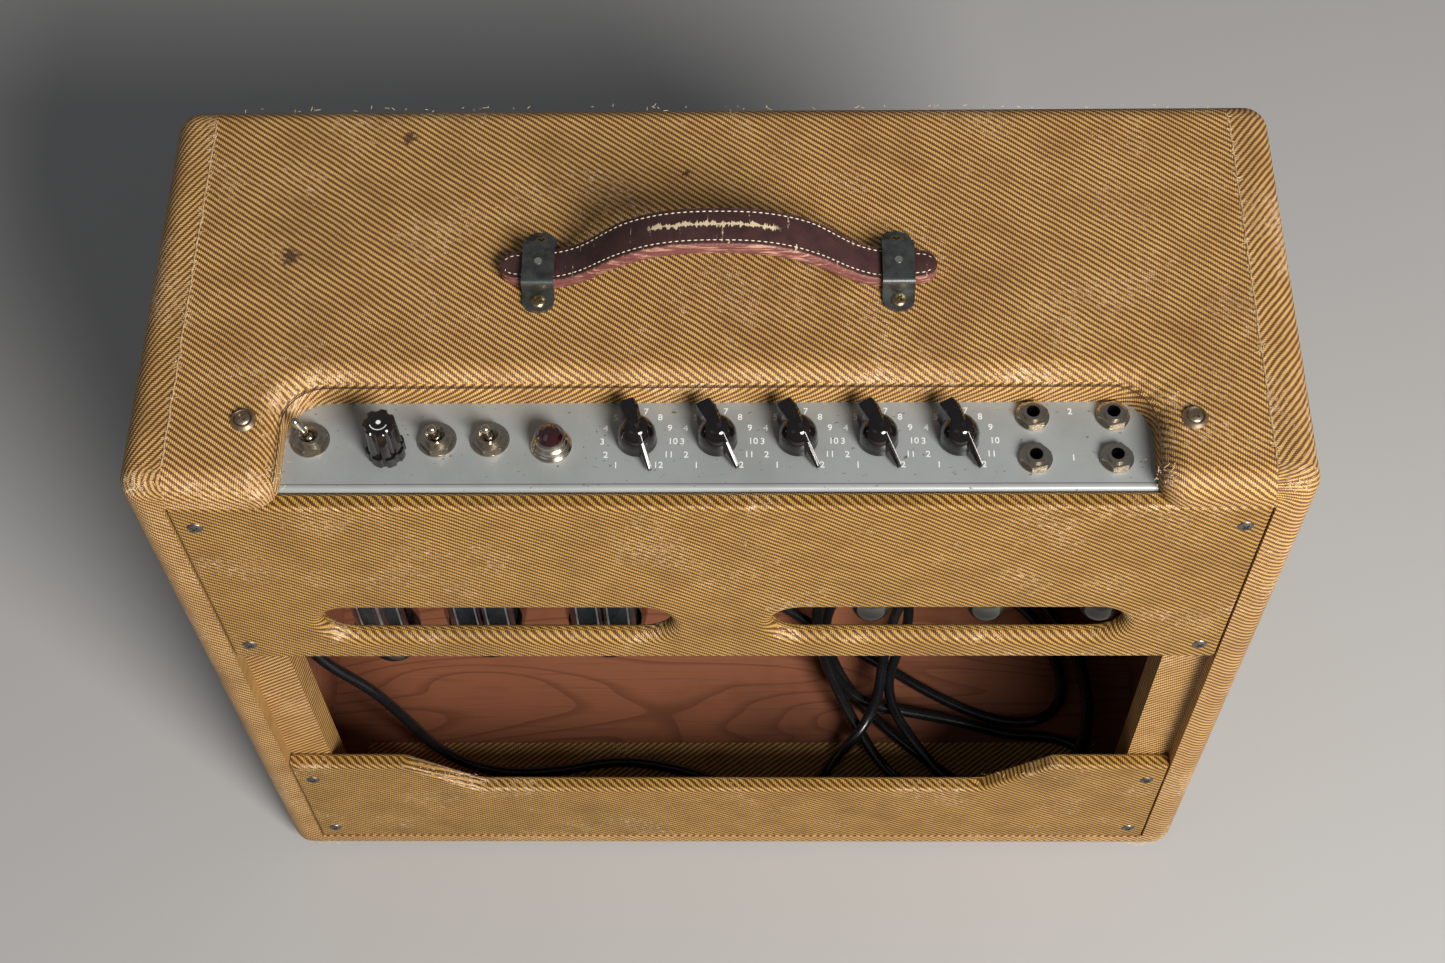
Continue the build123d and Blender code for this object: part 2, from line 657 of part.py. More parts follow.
# ---- valves and sockets ----
SOCKET_DROP = 3.5
with BuildPart() as tube_sockets:
    for places, radius, flange in (
        (octal_places, OCTAL_HOLE, 18.5),
        (nine_pin_places, NINE_PIN_HOLE, 11.5),
    ):
        with BuildSketch(Plane.XY.offset(CHASSIS_BOTTOM)):
            with Locations(*places):
                Circle(flange)
        extrude(amount=-SOCKET_DROP)
        with BuildSketch(Plane.XY.offset(CHASSIS_BOTTOM)):
            with Locations(*places):
                Circle(radius)
        extrude(amount=8)
save(tube_sockets.part, "tube_sockets")

TUBE_SEAT = CHASSIS_BOTTOM - SOCKET_DROP
BASE_HEIGHT = 22.0
BASE_RADII = [16.2, 17.6, 17.6]
with BuildPart() as tube_bases:
    for (x, y), radius in zip(octal_places, BASE_RADII):
        with BuildSketch(Plane.XY.offset(TUBE_SEAT)):
            with Locations((x, y)):
                Circle(radius)
        extrude(amount=-BASE_HEIGHT)
save(tube_bases.part, "tube_bases")
TIP_DROP = 5.5


def tube_glass(x, y, seat, outline):
    """A valve's glass envelope hanging from its seat, from (radius, drop) points down its side."""
    with BuildPart() as glass:
        with BuildSketch(Plane.XZ.offset(-y)):
            with BuildLine():
                tip = seat - outline[-1][1] - TIP_DROP
                side = Spline(
                    *[(x + r, seat - drop) for r, drop in outline],
                    (x, tip),
                    tangents=[(0.3, -1), (-1, 0)],
                )
                Line((x, tip), (x, seat))
                Line((x, seat), side @ 0)
            make_face()
        revolve(axis=Axis((x, y, 0), (0, 0, 1)))
    return glass.part


GLASS_SEAT = TUBE_SEAT - BASE_HEIGHT
straight_tube = [(14.5, 0), (16.6, 7), (16.8, 30), (16.4, 66), (14.6, 80)]
shouldered_tube = [(15.5, 0), (18.6, 12), (22.4, 32), (22.4, 46), (19.6, 60), (16.4, 72), (13.6, 78)]
nine_pin_tube = [(10.6, 0), (11.0, 5), (11.0, 43), (10.2, 51)]
save(tube_glass(*octal_places[0], GLASS_SEAT, straight_tube), "rectifier_tube")
with BuildPart() as power_tubes:
    for x, y in octal_places[1:]:
        add(tube_glass(x, y, GLASS_SEAT, shouldered_tube))
save(power_tubes.part, "power_tubes")
with BuildPart() as preamp_tubes:
    for x, y in nine_pin_places:
        add(tube_glass(x, y, TUBE_SEAT, nine_pin_tube))
save(preamp_tubes.part, "preamp_tubes")

# ---- transformers on the chassis's inner wall ----
CHASSIS_FRONT = CHASSIS_BACK + CHASSIS_DEPTH


def transformer(name, x, z, width, height, stack, coil):
    """A laminated core on the chassis wall, with its coil standing out in front and behind it."""
    depth = stack + 2 * coil
    mid_y = CHASSIS_FRONT + depth / 2
    with BuildPart() as core:
        with Locations((x, mid_y, z)):
            Box(width, stack, height)
        with Locations((x - width / 2 + 5, mid_y, z), (x + width / 2 - 5, mid_y, z)):
            Box(6, stack + 2 * coil, height * 0.3)
    with BuildPart() as winding:
        with Locations((x, mid_y, z)):
            Box(width * 0.62, depth, height * 0.62)
        fillet(edges().filter_by(Axis.Y), 5)
        fillet(faces().sort_by(Axis.Y)[-1].edges(), 4)
        add(core.part, mode=Mode.SUBTRACT)
    save(Compound(children=[core.part, *winding.part.solids()]), name)


transformer("power_transformer", -150, 388, 94, 78, 34, 14)
transformer("choke", -60, 385, 52, 44, 18, 9)
transformer("output_transformer", 40, 388, 74, 62, 28, 12)

# ---- component board inside the chassis ----
BOARD_Y = CHASSIS_FRONT - STEEL - 6
BOARD_Z = 378.0
with BuildPart() as eyelet_board:
    with Locations((25, BOARD_Y, BOARD_Z)):
        Box(350, 2.4, 62)
    with Locations(*[(x, BOARD_Y + 3.6, BOARD_Z) for x in (-140, 25, 190)]):
        Cylinder(3, 4.8, rotation=(90, 0, 0))
save(eyelet_board.part, "eyelet_board")
with BuildPart() as signal_parts:
    for index in range(15):
        radius = 5.0 if index % 3 == 0 else 2.4
        with Locations((-122 + 21 * index, BOARD_Y - 1.2 - radius, BOARD_Z)):
            Cylinder(radius, 34 if index % 3 == 0 else 18)
save(signal_parts.part, "signal_capacitors_and_resistors")
with BuildPart() as filter_capacitors:
    for x in (-220, -196, -172):
        with Locations((x, CHASSIS_FRONT - STEEL - 12.5, 377)):
            Cylinder(11, 62)
save(filter_capacitors.part, "filter_capacitors")

# ---- front: tweed strips, baffle, grille ----
baffle_normal = (0, cos(LEAN), sin(LEAN))


def front_plane(x, z, depth):
    """A plane parallel to the leaning front, depth behind it, whose Z points out of the grille."""
    front = Plane(origin=(x, front_y(z), z), x_dir=(-1, 0, 0), z_dir=baffle_normal)
    return front.offset(-depth)


STRIP_THICKNESS, STRIP_HEIGHT = FRONT_STRIP
with BuildPart() as front_strips:
    for low in (CEILING - STRIP_HEIGHT - 1.5, FLOOR + 1.5):
        with BuildSketch(front_plane(0, low + STRIP_HEIGHT / 2, FRONT_RECESS)):
            Rectangle(2 * INNER_HALF - 1, STRIP_HEIGHT)
        extrude(amount=-STRIP_THICKNESS)
    fillet(edges().filter_by(Axis.X), 3)
save(front_strips.part, "front_strips")

GRILLE_DEPTH = FRONT_RECESS + STRIP_THICKNESS
baffle_mid = (FLOOR + CEILING) / 2
baffle_high = (CEILING - FLOOR) / cos(LEAN) - 5
speaker_bolt_circle = SPEAKER_RADIUS - 4
with BuildPart() as grille_cloth:
    with BuildSketch(front_plane(0, baffle_mid, GRILLE_DEPTH)):
        Rectangle(2 * INNER_HALF - 1, baffle_high)
    extrude(amount=-GRILLE_THICKNESS)
save(grille_cloth.part, "grille_cloth")

BAFFLE_FRONT = GRILLE_DEPTH + GRILLE_THICKNESS
BAFFLE_REAR = BAFFLE_FRONT + BAFFLE_THICKNESS
with BuildPart() as baffle:
    with BuildSketch(front_plane(0, baffle_mid, BAFFLE_FRONT)):
        Rectangle(2 * INNER_HALF - 1, baffle_high)
    extrude(amount=-BAFFLE_THICKNESS)
    for x, z in SPEAKERS.values():
        with BuildSketch(front_plane(x, z, BAFFLE_FRONT - 1)):
            Circle(114)
            with PolarLocations(speaker_bolt_circle, 4, start_angle=45):
                Circle(2.5)
        extrude(amount=-BAFFLE_THICKNESS - 2, mode=Mode.SUBTRACT)
save(baffle.part, "baffle_board")

# ---- speakers: made on the plane Z 0, the back of the baffle, with +Z to the rear ----
RIM_STEEL = 2.2
BASKET_DEPTH = 66.0
MAGNET_FRONT = (39.0, 6.0)
MAGNET_BODY = (33.0, 26.0)
SPEAKER_BOLT = 2.4
SPEAKER_NUT = (3.4, 4.0)
with BuildPart() as basket:
    with BuildSketch(Plane.XZ):
        with BuildLine():
            rim = [(119, 0), (SPEAKER_RADIUS, 0), (SPEAKER_RADIUS, RIM_STEEL), (121, RIM_STEEL), (117, 8),
                   (64, 56)]
            seat = [(46, 56), (46, BASKET_DEPTH), (17, BASKET_DEPTH), (17, 63.5), (44, 63.5), (44, 54),
                    (62, 54)]
            Polyline(*rim, *seat, (115, 6.5), close=True)
        make_face()
    revolve(axis=Axis.Z)
    with BuildSketch(Plane.XY.offset(20)):
        with PolarLocations(78, 8):
            SlotOverall(42, 24, rotation=90)
    extrude(amount=60, mode=Mode.SUBTRACT)
    with BuildSketch(Plane.XY.offset(-1)):
        with PolarLocations(speaker_bolt_circle, 4, start_angle=45):
            Circle(2.5)
    extrude(amount=5, mode=Mode.SUBTRACT)
with BuildPart() as cone:
    with BuildSketch(Plane.XZ):
        with BuildLine():
            face = [(112, 3.4), (100, 3.4), (98, 5.4), (22, 46), (14, 48), (13.4, 58), (12.4, 58)]
            Polyline(*face, (12.4, 47), (0, 38), (0, 37), (13, 45.6), (21.4, 44.8), (97.6, 4.2),
                     (99.6, 2.4), (112, 2.4), close=True)
        make_face()
    revolve(axis=Axis.Z)
with BuildPart() as magnet:
    with BuildSketch(Plane.XY.offset(BASKET_DEPTH)):
        Circle(MAGNET_FRONT[0])
    extrude(amount=MAGNET_FRONT[1])
    with BuildSketch(Plane.XY.offset(BASKET_DEPTH + MAGNET_FRONT[1])):
        Circle(MAGNET_BODY[0])
    extrude(amount=MAGNET_BODY[1])
    fillet(edges().group_by(Axis.Z)[-1], 5)
with BuildPart() as speaker_bolt:
    with BuildSketch(Plane.XY.offset(-BAFFLE_THICKNESS)):
        Circle(SPEAKER_BOLT)
    extrude(amount=BAFFLE_THICKNESS + 9)
    with BuildSketch(Plane.XY.offset(RIM_STEEL)):
        RegularPolygon(SPEAKER_NUT[0], 6)
    extrude(amount=SPEAKER_NUT[1])
bolts = []
for side, (x, z) in SPEAKERS.items():
    rear = front_plane(x, z, BAFFLE_REAR)
    seat = Plane(origin=rear.origin, x_dir=(1, 0, 0), z_dir=-rear.z_dir)
    save(seat.location * basket.part, f"{side}_speaker_frame")
    save(seat.location * cone.part, f"{side}_speaker_cone")
    save(seat.location * magnet.part, f"{side}_speaker_magnet")
    for spot in PolarLocations(speaker_bolt_circle, 4, start_angle=45):
        bolts.append(seat.location * spot * speaker_bolt.part)
save(Compound(children=bolts), "speaker_bolts")

# ---- glides ----
with BuildPart() as glide:
    with BuildSketch(Plane.XZ):
        with BuildLine():
            Polyline((0, 12), (0, -GLIDE_HEIGHT), (5.5, -GLIDE_HEIGHT))
            ThreePointArc((5.5, -GLIDE_HEIGHT), (8.4, -1.5), (9.5, 0))
            Polyline((9.5, 0), (1.25, 0), (1.25, 10), (0, 12))
        make_face()
    revolve(axis=Axis.Z)
save(group(glide.part, glide_places), "glides")

# ---- mains cord ----
cord_radius = CORD_DIAMETER / 2
cord_floor = FLOOR + CLOTH + cord_radius + 0.05
with BuildPart() as strain_relief:
    with BuildSketch(Plane.XZ.offset(-CORD_EXIT[1])):
        with BuildLine():
            x, y, tip = CORD_EXIT
            Polyline(
                (x, tip),
                (x + 4.2, tip),
                (x + 7.0, CHASSIS_BOTTOM - 3),
                (x + 8.5, CHASSIS_BOTTOM - 3),
                (x + 8.5, CHASSIS_BOTTOM),
                (x + RELIEF_NECK, CHASSIS_BOTTOM),
                (x + RELIEF_NECK, CHASSIS_BOTTOM + STEEL),
                (x + 7.5, CHASSIS_BOTTOM + STEEL),
                (x + 6.5, CHASSIS_BOTTOM + STEEL + 4),
                (x, CHASSIS_BOTTOM + STEEL + 4),
                close=True,
            )
        make_face()
    revolve(axis=Axis((x, y, 0), (0, 0, 1)))
save(strain_relief.part, "cord_strain_relief")

# From the strain relief down the left side, then along the floor behind the lower panel
drop = [(-222, 55, 306), (-222, 55, 268), (-234, 60, 230), (-254, 63, 194), (-244, 60, 154)]
drop += [(-217, 56, 122), (-202, 54, 84), (-184, 49, 38)]
along = [(-150, 41), (-112, 42), (-72, 51), (-30, 44), (-5, 33), (14, 24), (34.5, 23), (54, 33), (66, 51)]
cord_route = [(x, BACK + y, z) for x, y, z in drop] + [(x, BACK + y, cord_floor) for x, y in along]


def bend_radii(route):
    """The radius at each inner point: as large as the shorter of its two runs allows."""
    points = [Vector(*p) for p in route]
    radii = []
    for before, here, after in zip(points, points[1:], points[2:]):
        turn = radians((here - before).get_angle(after - here))
        shorter = min((here - before).length, (after - here).length)
        radii.append(0.45 * shorter / tan(turn / 2))
    return radii


cord_radii = bend_radii(cord_route)
print("cord bend radii", [round(r) for r in cord_radii])
plug_place = Location((*PLUG_AT, FLOOR + CLOTH + PLUG_RADIUS + 0.1), (0, 0, PLUG_HEADING))
plug_plane = Plane(plug_place) * Plane.YZ
with BuildPart() as cord_coil:
    with BuildSketch(Plane.XY.offset(FLOOR + CLOTH + 0.05)):
        with Locations(COIL_CENTRE):
            Ellipse(*COIL_RADII)
            Circle(COIL_HOLE, mode=Mode.SUBTRACT)
    extrude(amount=COIL_HEIGHT)
    fillet(edges().group_by(Axis.Z)[-1], 5)
    with BuildSketch(plug_plane):
        Circle(cord_radius)
    extrude(amount=-60)
save(cord_coil.part, "mains_cord_coil")
with BuildPart() as cord_tube:
    with BuildLine() as cord_path:
        FilletPolyline(*cord_route, radius=cord_radii)
    with BuildSketch(Plane(origin=cord_route[0], z_dir=cord_path.line % 0)):
        Circle(cord_radius)
    sweep(path=cord_path.line)
    tube_length = cord_path.wire().length
    swept = cord_tube.part.volume / (pi * cord_radius**2 * tube_length)
    print("cord tube length", round(tube_length, 1), "swept volume ratio", round(swept, 4))
    add(cord_coil.part, mode=Mode.SUBTRACT)
save(cord_tube.part.solids().sort_by(SortBy.VOLUME)[-1], "mains_cord")

# The plug lies along its own X: a neck for the cord, a flare, then the round body and its two blades
PLUG_NECK = (4.4, 8.0)
PLUG_FLARE_END = 18.0
PLUG_LENGTH = 33.0
BLADE = (16.0, 1.5, 6.3)
BLADE_PITCH = 12.7
with BuildPart() as plug:
    with BuildSketch(Plane.YZ):
        Circle(PLUG_NECK[0])
    extrude(amount=PLUG_NECK[1])
    with BuildSketch(Plane.YZ.offset(PLUG_NECK[1])):
        Circle(PLUG_NECK[0] + 1.6)
    with BuildSketch(Plane.YZ.offset(PLUG_FLARE_END)):
        Circle(PLUG_RADIUS - 0.6)
    loft()
    with BuildSketch(Plane.YZ.offset(PLUG_FLARE_END)):
        Circle(PLUG_RADIUS)
    extrude(amount=PLUG_LENGTH - PLUG_FLARE_END)
    fillet(edges().group_by(Axis.X)[-1], 1.5)
with BuildPart() as blades:
    blade_x = PLUG_LENGTH + BLADE[0] / 2
    with Locations((blade_x, BLADE_PITCH / 2, 0), (blade_x, -BLADE_PITCH / 2, 0)):
        Box(*BLADE)
plug_pieces = [plug.part, *blades.solids()]
save(Compound(children=[plug_place * piece for piece in plug_pieces]), "mains_plug")
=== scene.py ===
"""Looks of the valve guitar amplifier: lacquered tweed, leather, plated steel, pine and its loose cord.

Everything is in metres in the frame's own axes: X across, +Y towards the grille, Z up. Places come from
the frame's nodes, joints and boxes.
"""

import json
import math
import random

import bmesh
import bpy
from mathutils import Matrix, Vector
from mathutils.bvhtree import BVHTree


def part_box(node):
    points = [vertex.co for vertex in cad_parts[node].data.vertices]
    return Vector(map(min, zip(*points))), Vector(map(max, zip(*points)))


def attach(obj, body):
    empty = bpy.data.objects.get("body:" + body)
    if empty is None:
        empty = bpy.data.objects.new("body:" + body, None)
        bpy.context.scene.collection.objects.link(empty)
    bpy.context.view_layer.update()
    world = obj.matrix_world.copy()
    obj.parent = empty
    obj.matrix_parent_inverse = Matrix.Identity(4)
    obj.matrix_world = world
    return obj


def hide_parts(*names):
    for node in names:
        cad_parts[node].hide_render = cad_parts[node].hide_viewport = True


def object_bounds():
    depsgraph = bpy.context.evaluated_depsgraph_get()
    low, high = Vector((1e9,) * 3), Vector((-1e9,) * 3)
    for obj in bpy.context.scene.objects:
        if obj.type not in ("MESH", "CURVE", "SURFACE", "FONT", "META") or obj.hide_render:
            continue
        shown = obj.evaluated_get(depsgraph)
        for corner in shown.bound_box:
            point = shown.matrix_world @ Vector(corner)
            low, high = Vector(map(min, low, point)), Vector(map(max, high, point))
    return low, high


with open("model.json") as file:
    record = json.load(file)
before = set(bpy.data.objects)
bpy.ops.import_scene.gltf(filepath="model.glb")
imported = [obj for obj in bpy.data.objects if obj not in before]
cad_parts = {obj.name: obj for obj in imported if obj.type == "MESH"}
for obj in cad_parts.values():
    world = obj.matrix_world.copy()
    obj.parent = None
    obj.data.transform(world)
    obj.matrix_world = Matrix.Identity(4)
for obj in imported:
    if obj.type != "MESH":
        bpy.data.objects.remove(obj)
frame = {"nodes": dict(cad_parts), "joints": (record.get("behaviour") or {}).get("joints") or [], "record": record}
cad_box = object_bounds()
nodes = frame["nodes"]
joints = {j["name"]: j for j in frame["joints"]}
chance = random.Random(11)
MM = 0.001

# ---- places read from the frame ----
cloth_low, cloth_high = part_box("cabinet_tweed")
chassis_low, chassis_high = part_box("chassis")
clamps_low, clamps_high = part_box("handle_clamps")
strap_low, strap_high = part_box("handle_strap")
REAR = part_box("upper_back_tweed")[0].y
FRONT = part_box("top_board")[1].y
SIDE = cloth_high.x
TOP = cloth_high.z
BOTTOM = cloth_low.z
PANEL = chassis_high.z
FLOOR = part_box("mains_cord_coil")[0].z
ROUND_OVER = 12.7 * MM
PANEL_ROLL = 3.5 * MM
SEAM_X = 257.5 * MM
CUTOUT_HALF = 206 * MM
CUTOUT_DEPTH = 58.5 * MM
CUTOUT_CORNER = 20 * MM
LIP_FOLD = TOP - 5.5 * MM
FOLD_LINE_Y = chassis_low.y + 3.4 * MM
CLAMP_X = (clamps_high.x - clamps_low.x) / 2 - 7.75 * MM
STRAP_Y = (strap_low.y + strap_high.y) / 2


def new_object(name, data):
    thing = bpy.data.objects.new(name, data)
    bpy.context.scene.collection.objects.link(thing)
    return thing


# ---- camera ----
CAMERA_LENS = 53.74
CAMERA_PLACE = Vector((22.5 * MM, REAR - 497.8 * MM, 1313.3 * MM))
CAMERA_YAW = math.radians(-2.24)
CAMERA_PITCH = math.radians(59.56)
CAMERA_ROLL = math.radians(-2.07)


def make_camera():
    """The camera stands behind the amplifier, high up, and looks steeply down at its back."""
    data = bpy.data.cameras.new("camera")
    data.sensor_width = 36
    data.lens = CAMERA_LENS
    camera = new_object("camera", data)
    forward = Vector((math.sin(CAMERA_YAW), math.cos(CAMERA_YAW), 0))
    ahead = forward * math.cos(CAMERA_PITCH) - Vector((0, 0, math.sin(CAMERA_PITCH)))
    level = Vector((forward.y, -forward.x, 0))
    above = level.cross(ahead)
    right = level * math.cos(CAMERA_ROLL) + above * math.sin(CAMERA_ROLL)
    up = above * math.cos(CAMERA_ROLL) - level * math.sin(CAMERA_ROLL)
    turn = Matrix((right, up, -ahead)).transposed().to_4x4()
    camera.matrix_world = Matrix.Translation(CAMERA_PLACE) @ turn
    bpy.context.scene.camera = camera


make_camera()


# ---- making pieces ----
def add_piece(name, mesh, body, material, smooth=None):
    """A new object from a mesh, riding on a body. Above smooth, an angle in degrees, edges stay sharp."""
    piece = new_object(name, mesh)
    if smooth is not None:
        mesh.shade_smooth()
        mesh.set_sharp_from_angle(angle=math.radians(smooth))
    mesh.materials.clear()
    mesh.materials.append(material)
    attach(piece, body)
    return piece


def mesh_from(build, name):
    """A mesh filled by build(bm)."""
    bm = bmesh.new()
    build(bm)
    mesh = bpy.data.meshes.new(name)
    bm.to_mesh(mesh)
    bm.free()
    return mesh


def line_curve(name, lines, radius, profile, material, kind="POLY", resolution=2):
    """Round threads along lists of points, on the cabinet. profile is how finely they are rounded."""
    curve = bpy.data.curves.new(name, "CURVE")
    curve.dimensions = "3D"
    curve.bevel_depth = radius
    curve.bevel_resolution = profile
    curve.resolution_u = resolution
    curve.use_fill_caps = True
    for points in lines:
        spline = curve.splines.new(kind)
        spline.points.add(len(points) - 1)
        for target, point in zip(spline.points, points):
            target.co = (*point, 1)
        if kind == "NURBS":
            spline.order_u = 3
            spline.use_endpoint_u = True
    curve.materials.append(material)
    piece = new_object(name, curve)
    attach(piece, "cabinet")
    return piece


# ---- material graphs ----
class Graph:
    """A material's node tree, with short calls for the nodes that the finishes use."""

    def __init__(self, name, **constants):
        self.material = bpy.data.materials.new(name)
        self.material.use_nodes = True
        self.tree = self.material.node_tree
        self.shader = self.tree.nodes["Principled BSDF"]
        for key, value in constants.items():
            self.set(key.replace("_", " "), value)

    def put(self, socket, value):
        if isinstance(value, bpy.types.NodeSocket):
            self.tree.links.new(value, socket)
        elif socket.type == "RGBA" and len(value) == 3:
            socket.default_value = (*value, 1)
        else:
            socket.default_value = value

    def set(self, name, value):
        self.put(self.shader.inputs[name], value)

    def node(self, kind, *values, **settings):
        made = self.tree.nodes.new(kind)
        for key, value in settings.items():
            setattr(made, key, value)
        for socket, value in zip(made.inputs, values):
            self.put(socket, value)
        return made

    def coords(self, which="Object"):
        return self.node("ShaderNodeTexCoord").outputs[which]

    def split(self, vector):
        return self.node("ShaderNodeSeparateXYZ", vector).outputs

    def join(self, x, y, z=0.0):
        return self.node("ShaderNodeCombineXYZ", x, y, z).outputs[0]

    def stretch(self, vector, scale):
        return self.node("ShaderNodeVectorMath", vector, scale, operation="MULTIPLY").outputs[0]

    def calc(self, operation, *values):
        return self.node("ShaderNodeMath", *values, operation=operation).outputs[0]

    def times(self, *values):
        return self.calc("MULTIPLY", *values)

    def plus(self, *values):
        return self.calc("ADD", *values)

    def minus(self, *values):
        return self.calc("SUBTRACT", *values)

    def noise(self, vector, scale, detail=3.0, rough=0.55, warp=0.0):
        made = self.node("ShaderNodeTexNoise")
        names = ("Vector", "Scale", "Detail", "Roughness", "Distortion")
        for key, value in zip(names, (vector, scale, detail, rough, warp)):
            self.put(made.inputs[key], value)
        return made.outputs["Fac"]

    def step(self, value, low, high, start=0.0, end=1.0):
        """A smooth step of value from start at low to end at high."""
        values = (value, low, high, start, end)
        return self.node("ShaderNodeMapRange", *values, interpolation_type="SMOOTHSTEP").outputs[0]

    def mix(self, share, first, second):
        made = self.node("ShaderNodeMix", data_type="RGBA")
        self.put(made.inputs[0], share)
        self.put(made.inputs[6], first)
        self.put(made.inputs[7], second)
        return made.outputs[2]

    def bump(self, height, distance):
        """Raises the surface by height, a value of which 1 stands for distance in metres."""
        made = self.node("ShaderNodeBump")
        self.put(made.inputs["Distance"], distance)
        self.put(made.inputs["Height"], height)
        self.set("Normal", made.outputs[0])

    def painted(self, name):
        """A value painted on the mesh as an attribute."""
        return self.node("ShaderNodeAttribute", attribute_name=name).outputs["Fac"]


# UV is the cloth's own flat plan in millimetres, so the twill keeps its size round every edge
TWILL_ANGLE = math.radians(37)
TWILL_PERIOD = 2.8
THREAD_PITCH = 1.25


def tweed(name, light, dark, shade):
    """Two-tone diagonal twill under old lacquer, with dirt, pale worn threads and rubbed edges."""
    g = Graph(name, Specular_IOR_Level=0.35)
    plan = g.coords("UV")
    u, v, _ = g.split(plan)
    drift = g.times(g.minus(g.noise(plan, 0.035, 2), 0.5), 2.0)
    sine, cosine = math.sin(TWILL_ANGLE), math.cos(TWILL_ANGLE)
    across = g.plus(g.times(u, sine), g.times(v, cosine))
    along = g.minus(g.times(u, cosine), g.times(v, sine))
    rows = g.calc("DIVIDE", g.plus(across, drift), TWILL_PERIOD)
    slant = g.plus(along, g.times(across, 0.55))
    tooth = g.calc("SINE", g.times(slant, 2 * math.pi / THREAD_PITCH))
    ridge = g.calc("ABSOLUTE", g.minus(g.calc("FRACT", rows), 0.5))
    fuzz = g.times(g.minus(g.noise(plan, 1.1, 2, 0.7), 0.5), 0.22)
    edge = g.plus(g.plus(ridge, g.times(tooth, 0.045)), fuzz)
    stripe = g.step(edge, 0.285, 0.205)
    patch = g.noise(plan, 0.012, 4, 0.6)
    tone = g.mix(g.step(g.noise(plan, 0.05, 5, 0.65), 0.35, 0.7), light, shade)
    tone = g.mix(g.times(g.step(tooth, -0.2, -1.0), 0.35), tone, dark)
    cloth = g.mix(g.times(stripe, 0.92), tone, dark)
    grime = g.times(g.step(patch, 0.46, 0.75), 0.22)
    cloth = g.mix(grime, cloth, tuple(c * 0.55 for c in dark))
    wear = g.painted("wear")
    dashes = g.noise(g.stretch(g.join(along, across), (0.22, 1.5, 1)), 1.0, 3, 0.75)
    places = g.step(g.noise(plan, 0.017, 3, 0.6), 0.4, 0.64)
    rubbed = g.plus(g.times(places, 0.15), g.times(wear, 0.09))
    bare = g.step(g.plus(dashes, rubbed), 0.705, 0.785)
    cloth = g.mix(g.times(bare, 0.7), cloth, (0.8, 0.6, 0.42))
    spots = g.step(g.plus(g.painted("soil"), g.noise(plan, 0.32, 4, 0.7)), 0.88, 1.06)
    cloth = g.mix(g.times(spots, 0.85), cloth, (0.05, 0.024, 0.014))
    g.set("Base Color", cloth)
    g.set("Roughness", g.step(bare, 0.0, 1.0, 0.52, 0.9))
    height = g.plus(g.times(stripe, -0.8), g.times(tooth, 0.28))
    height = g.plus(height, g.times(fuzz, 2.0))
    height = g.plus(height, g.times(g.painted("pleat"), 0.6))
    g.bump(height, 0.3 * MM)
    return g.material


def wood(name, pale, deep, along="X", rings=26.0):
    """Sawn board: long oval growth rings, fine pores and stains. along is the grain's axis."""
    g = Graph(name, Specular_IOR_Level=0.3)
    place = g.coords()
    stretch = {"X": (1.0, 7.0, 7.0), "Z": (7.0, 7.0, 1.0)}[along]
    fine = {"X": (14, 420, 420), "Z": (420, 420, 14)}[along]
    swirl = g.noise(g.stretch(place, stretch), 2.1, 1.5, 0.45, 0.35)
    ring = g.calc("FRACT", g.times(swirl, rings))
    band = g.times(g.step(ring, 0.62, 0.94), g.step(ring, 1.0, 0.95))
    pores = g.noise(g.stretch(place, fine), 1.0, 3, 0.7)
    colour = g.mix(g.times(band, 0.6), pale, deep)
    open_pores = g.step(pores, 0.5, 0.75)
    colour = g.mix(g.times(open_pores, 0.35), colour, tuple(c * 0.45 for c in deep))
    stain = g.step(g.noise(place, 9.0, 4, 0.6), 0.42, 0.75)
    colour = g.mix(g.times(stain, 0.45), colour, tuple(c * 0.5 for c in deep))
    g.set("Base Color", colour)
    g.set("Roughness", g.step(pores, 0.3, 0.8, 0.5, 0.8))
    g.bump(g.plus(g.times(band, -0.6), g.times(pores, -0.8)), 0.18 * MM)
    return g.material


def metal(name, colour, rough, tarnish, amount, scale, stretch=(1, 1, 1), pits=0.03, metallic=1.0):
    """Metal with uneven polish, tarnish over an amount of it, and fine scratches."""
    g = Graph(name, Metallic=metallic)
    place = g.stretch(g.coords(), stretch)
    cloud = g.noise(place, scale, 5, 0.65)
    speck = g.noise(place, scale * 9, 3, 0.7)
    spoiled = g.times(g.step(cloud, 0.44, 0.74), amount)
    g.set("Base Color", g.mix(spoiled, colour, tarnish))
    grit = g.plus(g.times(cloud, 0.6), g.times(speck, 0.4))
    g.set("Roughness", g.step(grit, 0.3, 0.8, rough * 0.7, min(1.0, rough * 1.5)))
    g.bump(speck, pits * MM)
    return g.material


def enamel(name, colour, rough, dust, amount, grain, scale=60.0, coat=0.0):
    """Paint, bakelite or rubber: even colour, faint mottling, dust and fine texture."""
    g = Graph(name, Coat_Weight=coat, Coat_Roughness=0.08)
    place = g.coords()
    cloud = g.noise(place, scale, 4, 0.6)
    fine = g.noise(place, scale * 14, 3, 0.7)
    dull = g.times(g.step(cloud, 0.42, 0.8), amount)
    g.set("Base Color", g.mix(dull, colour, dust))
    g.set("Roughness", g.step(fine, 0.3, 0.75, rough * 0.8, min(1.0, rough * 1.3)))
    g.bump(fine, grain * MM)
    return g.material


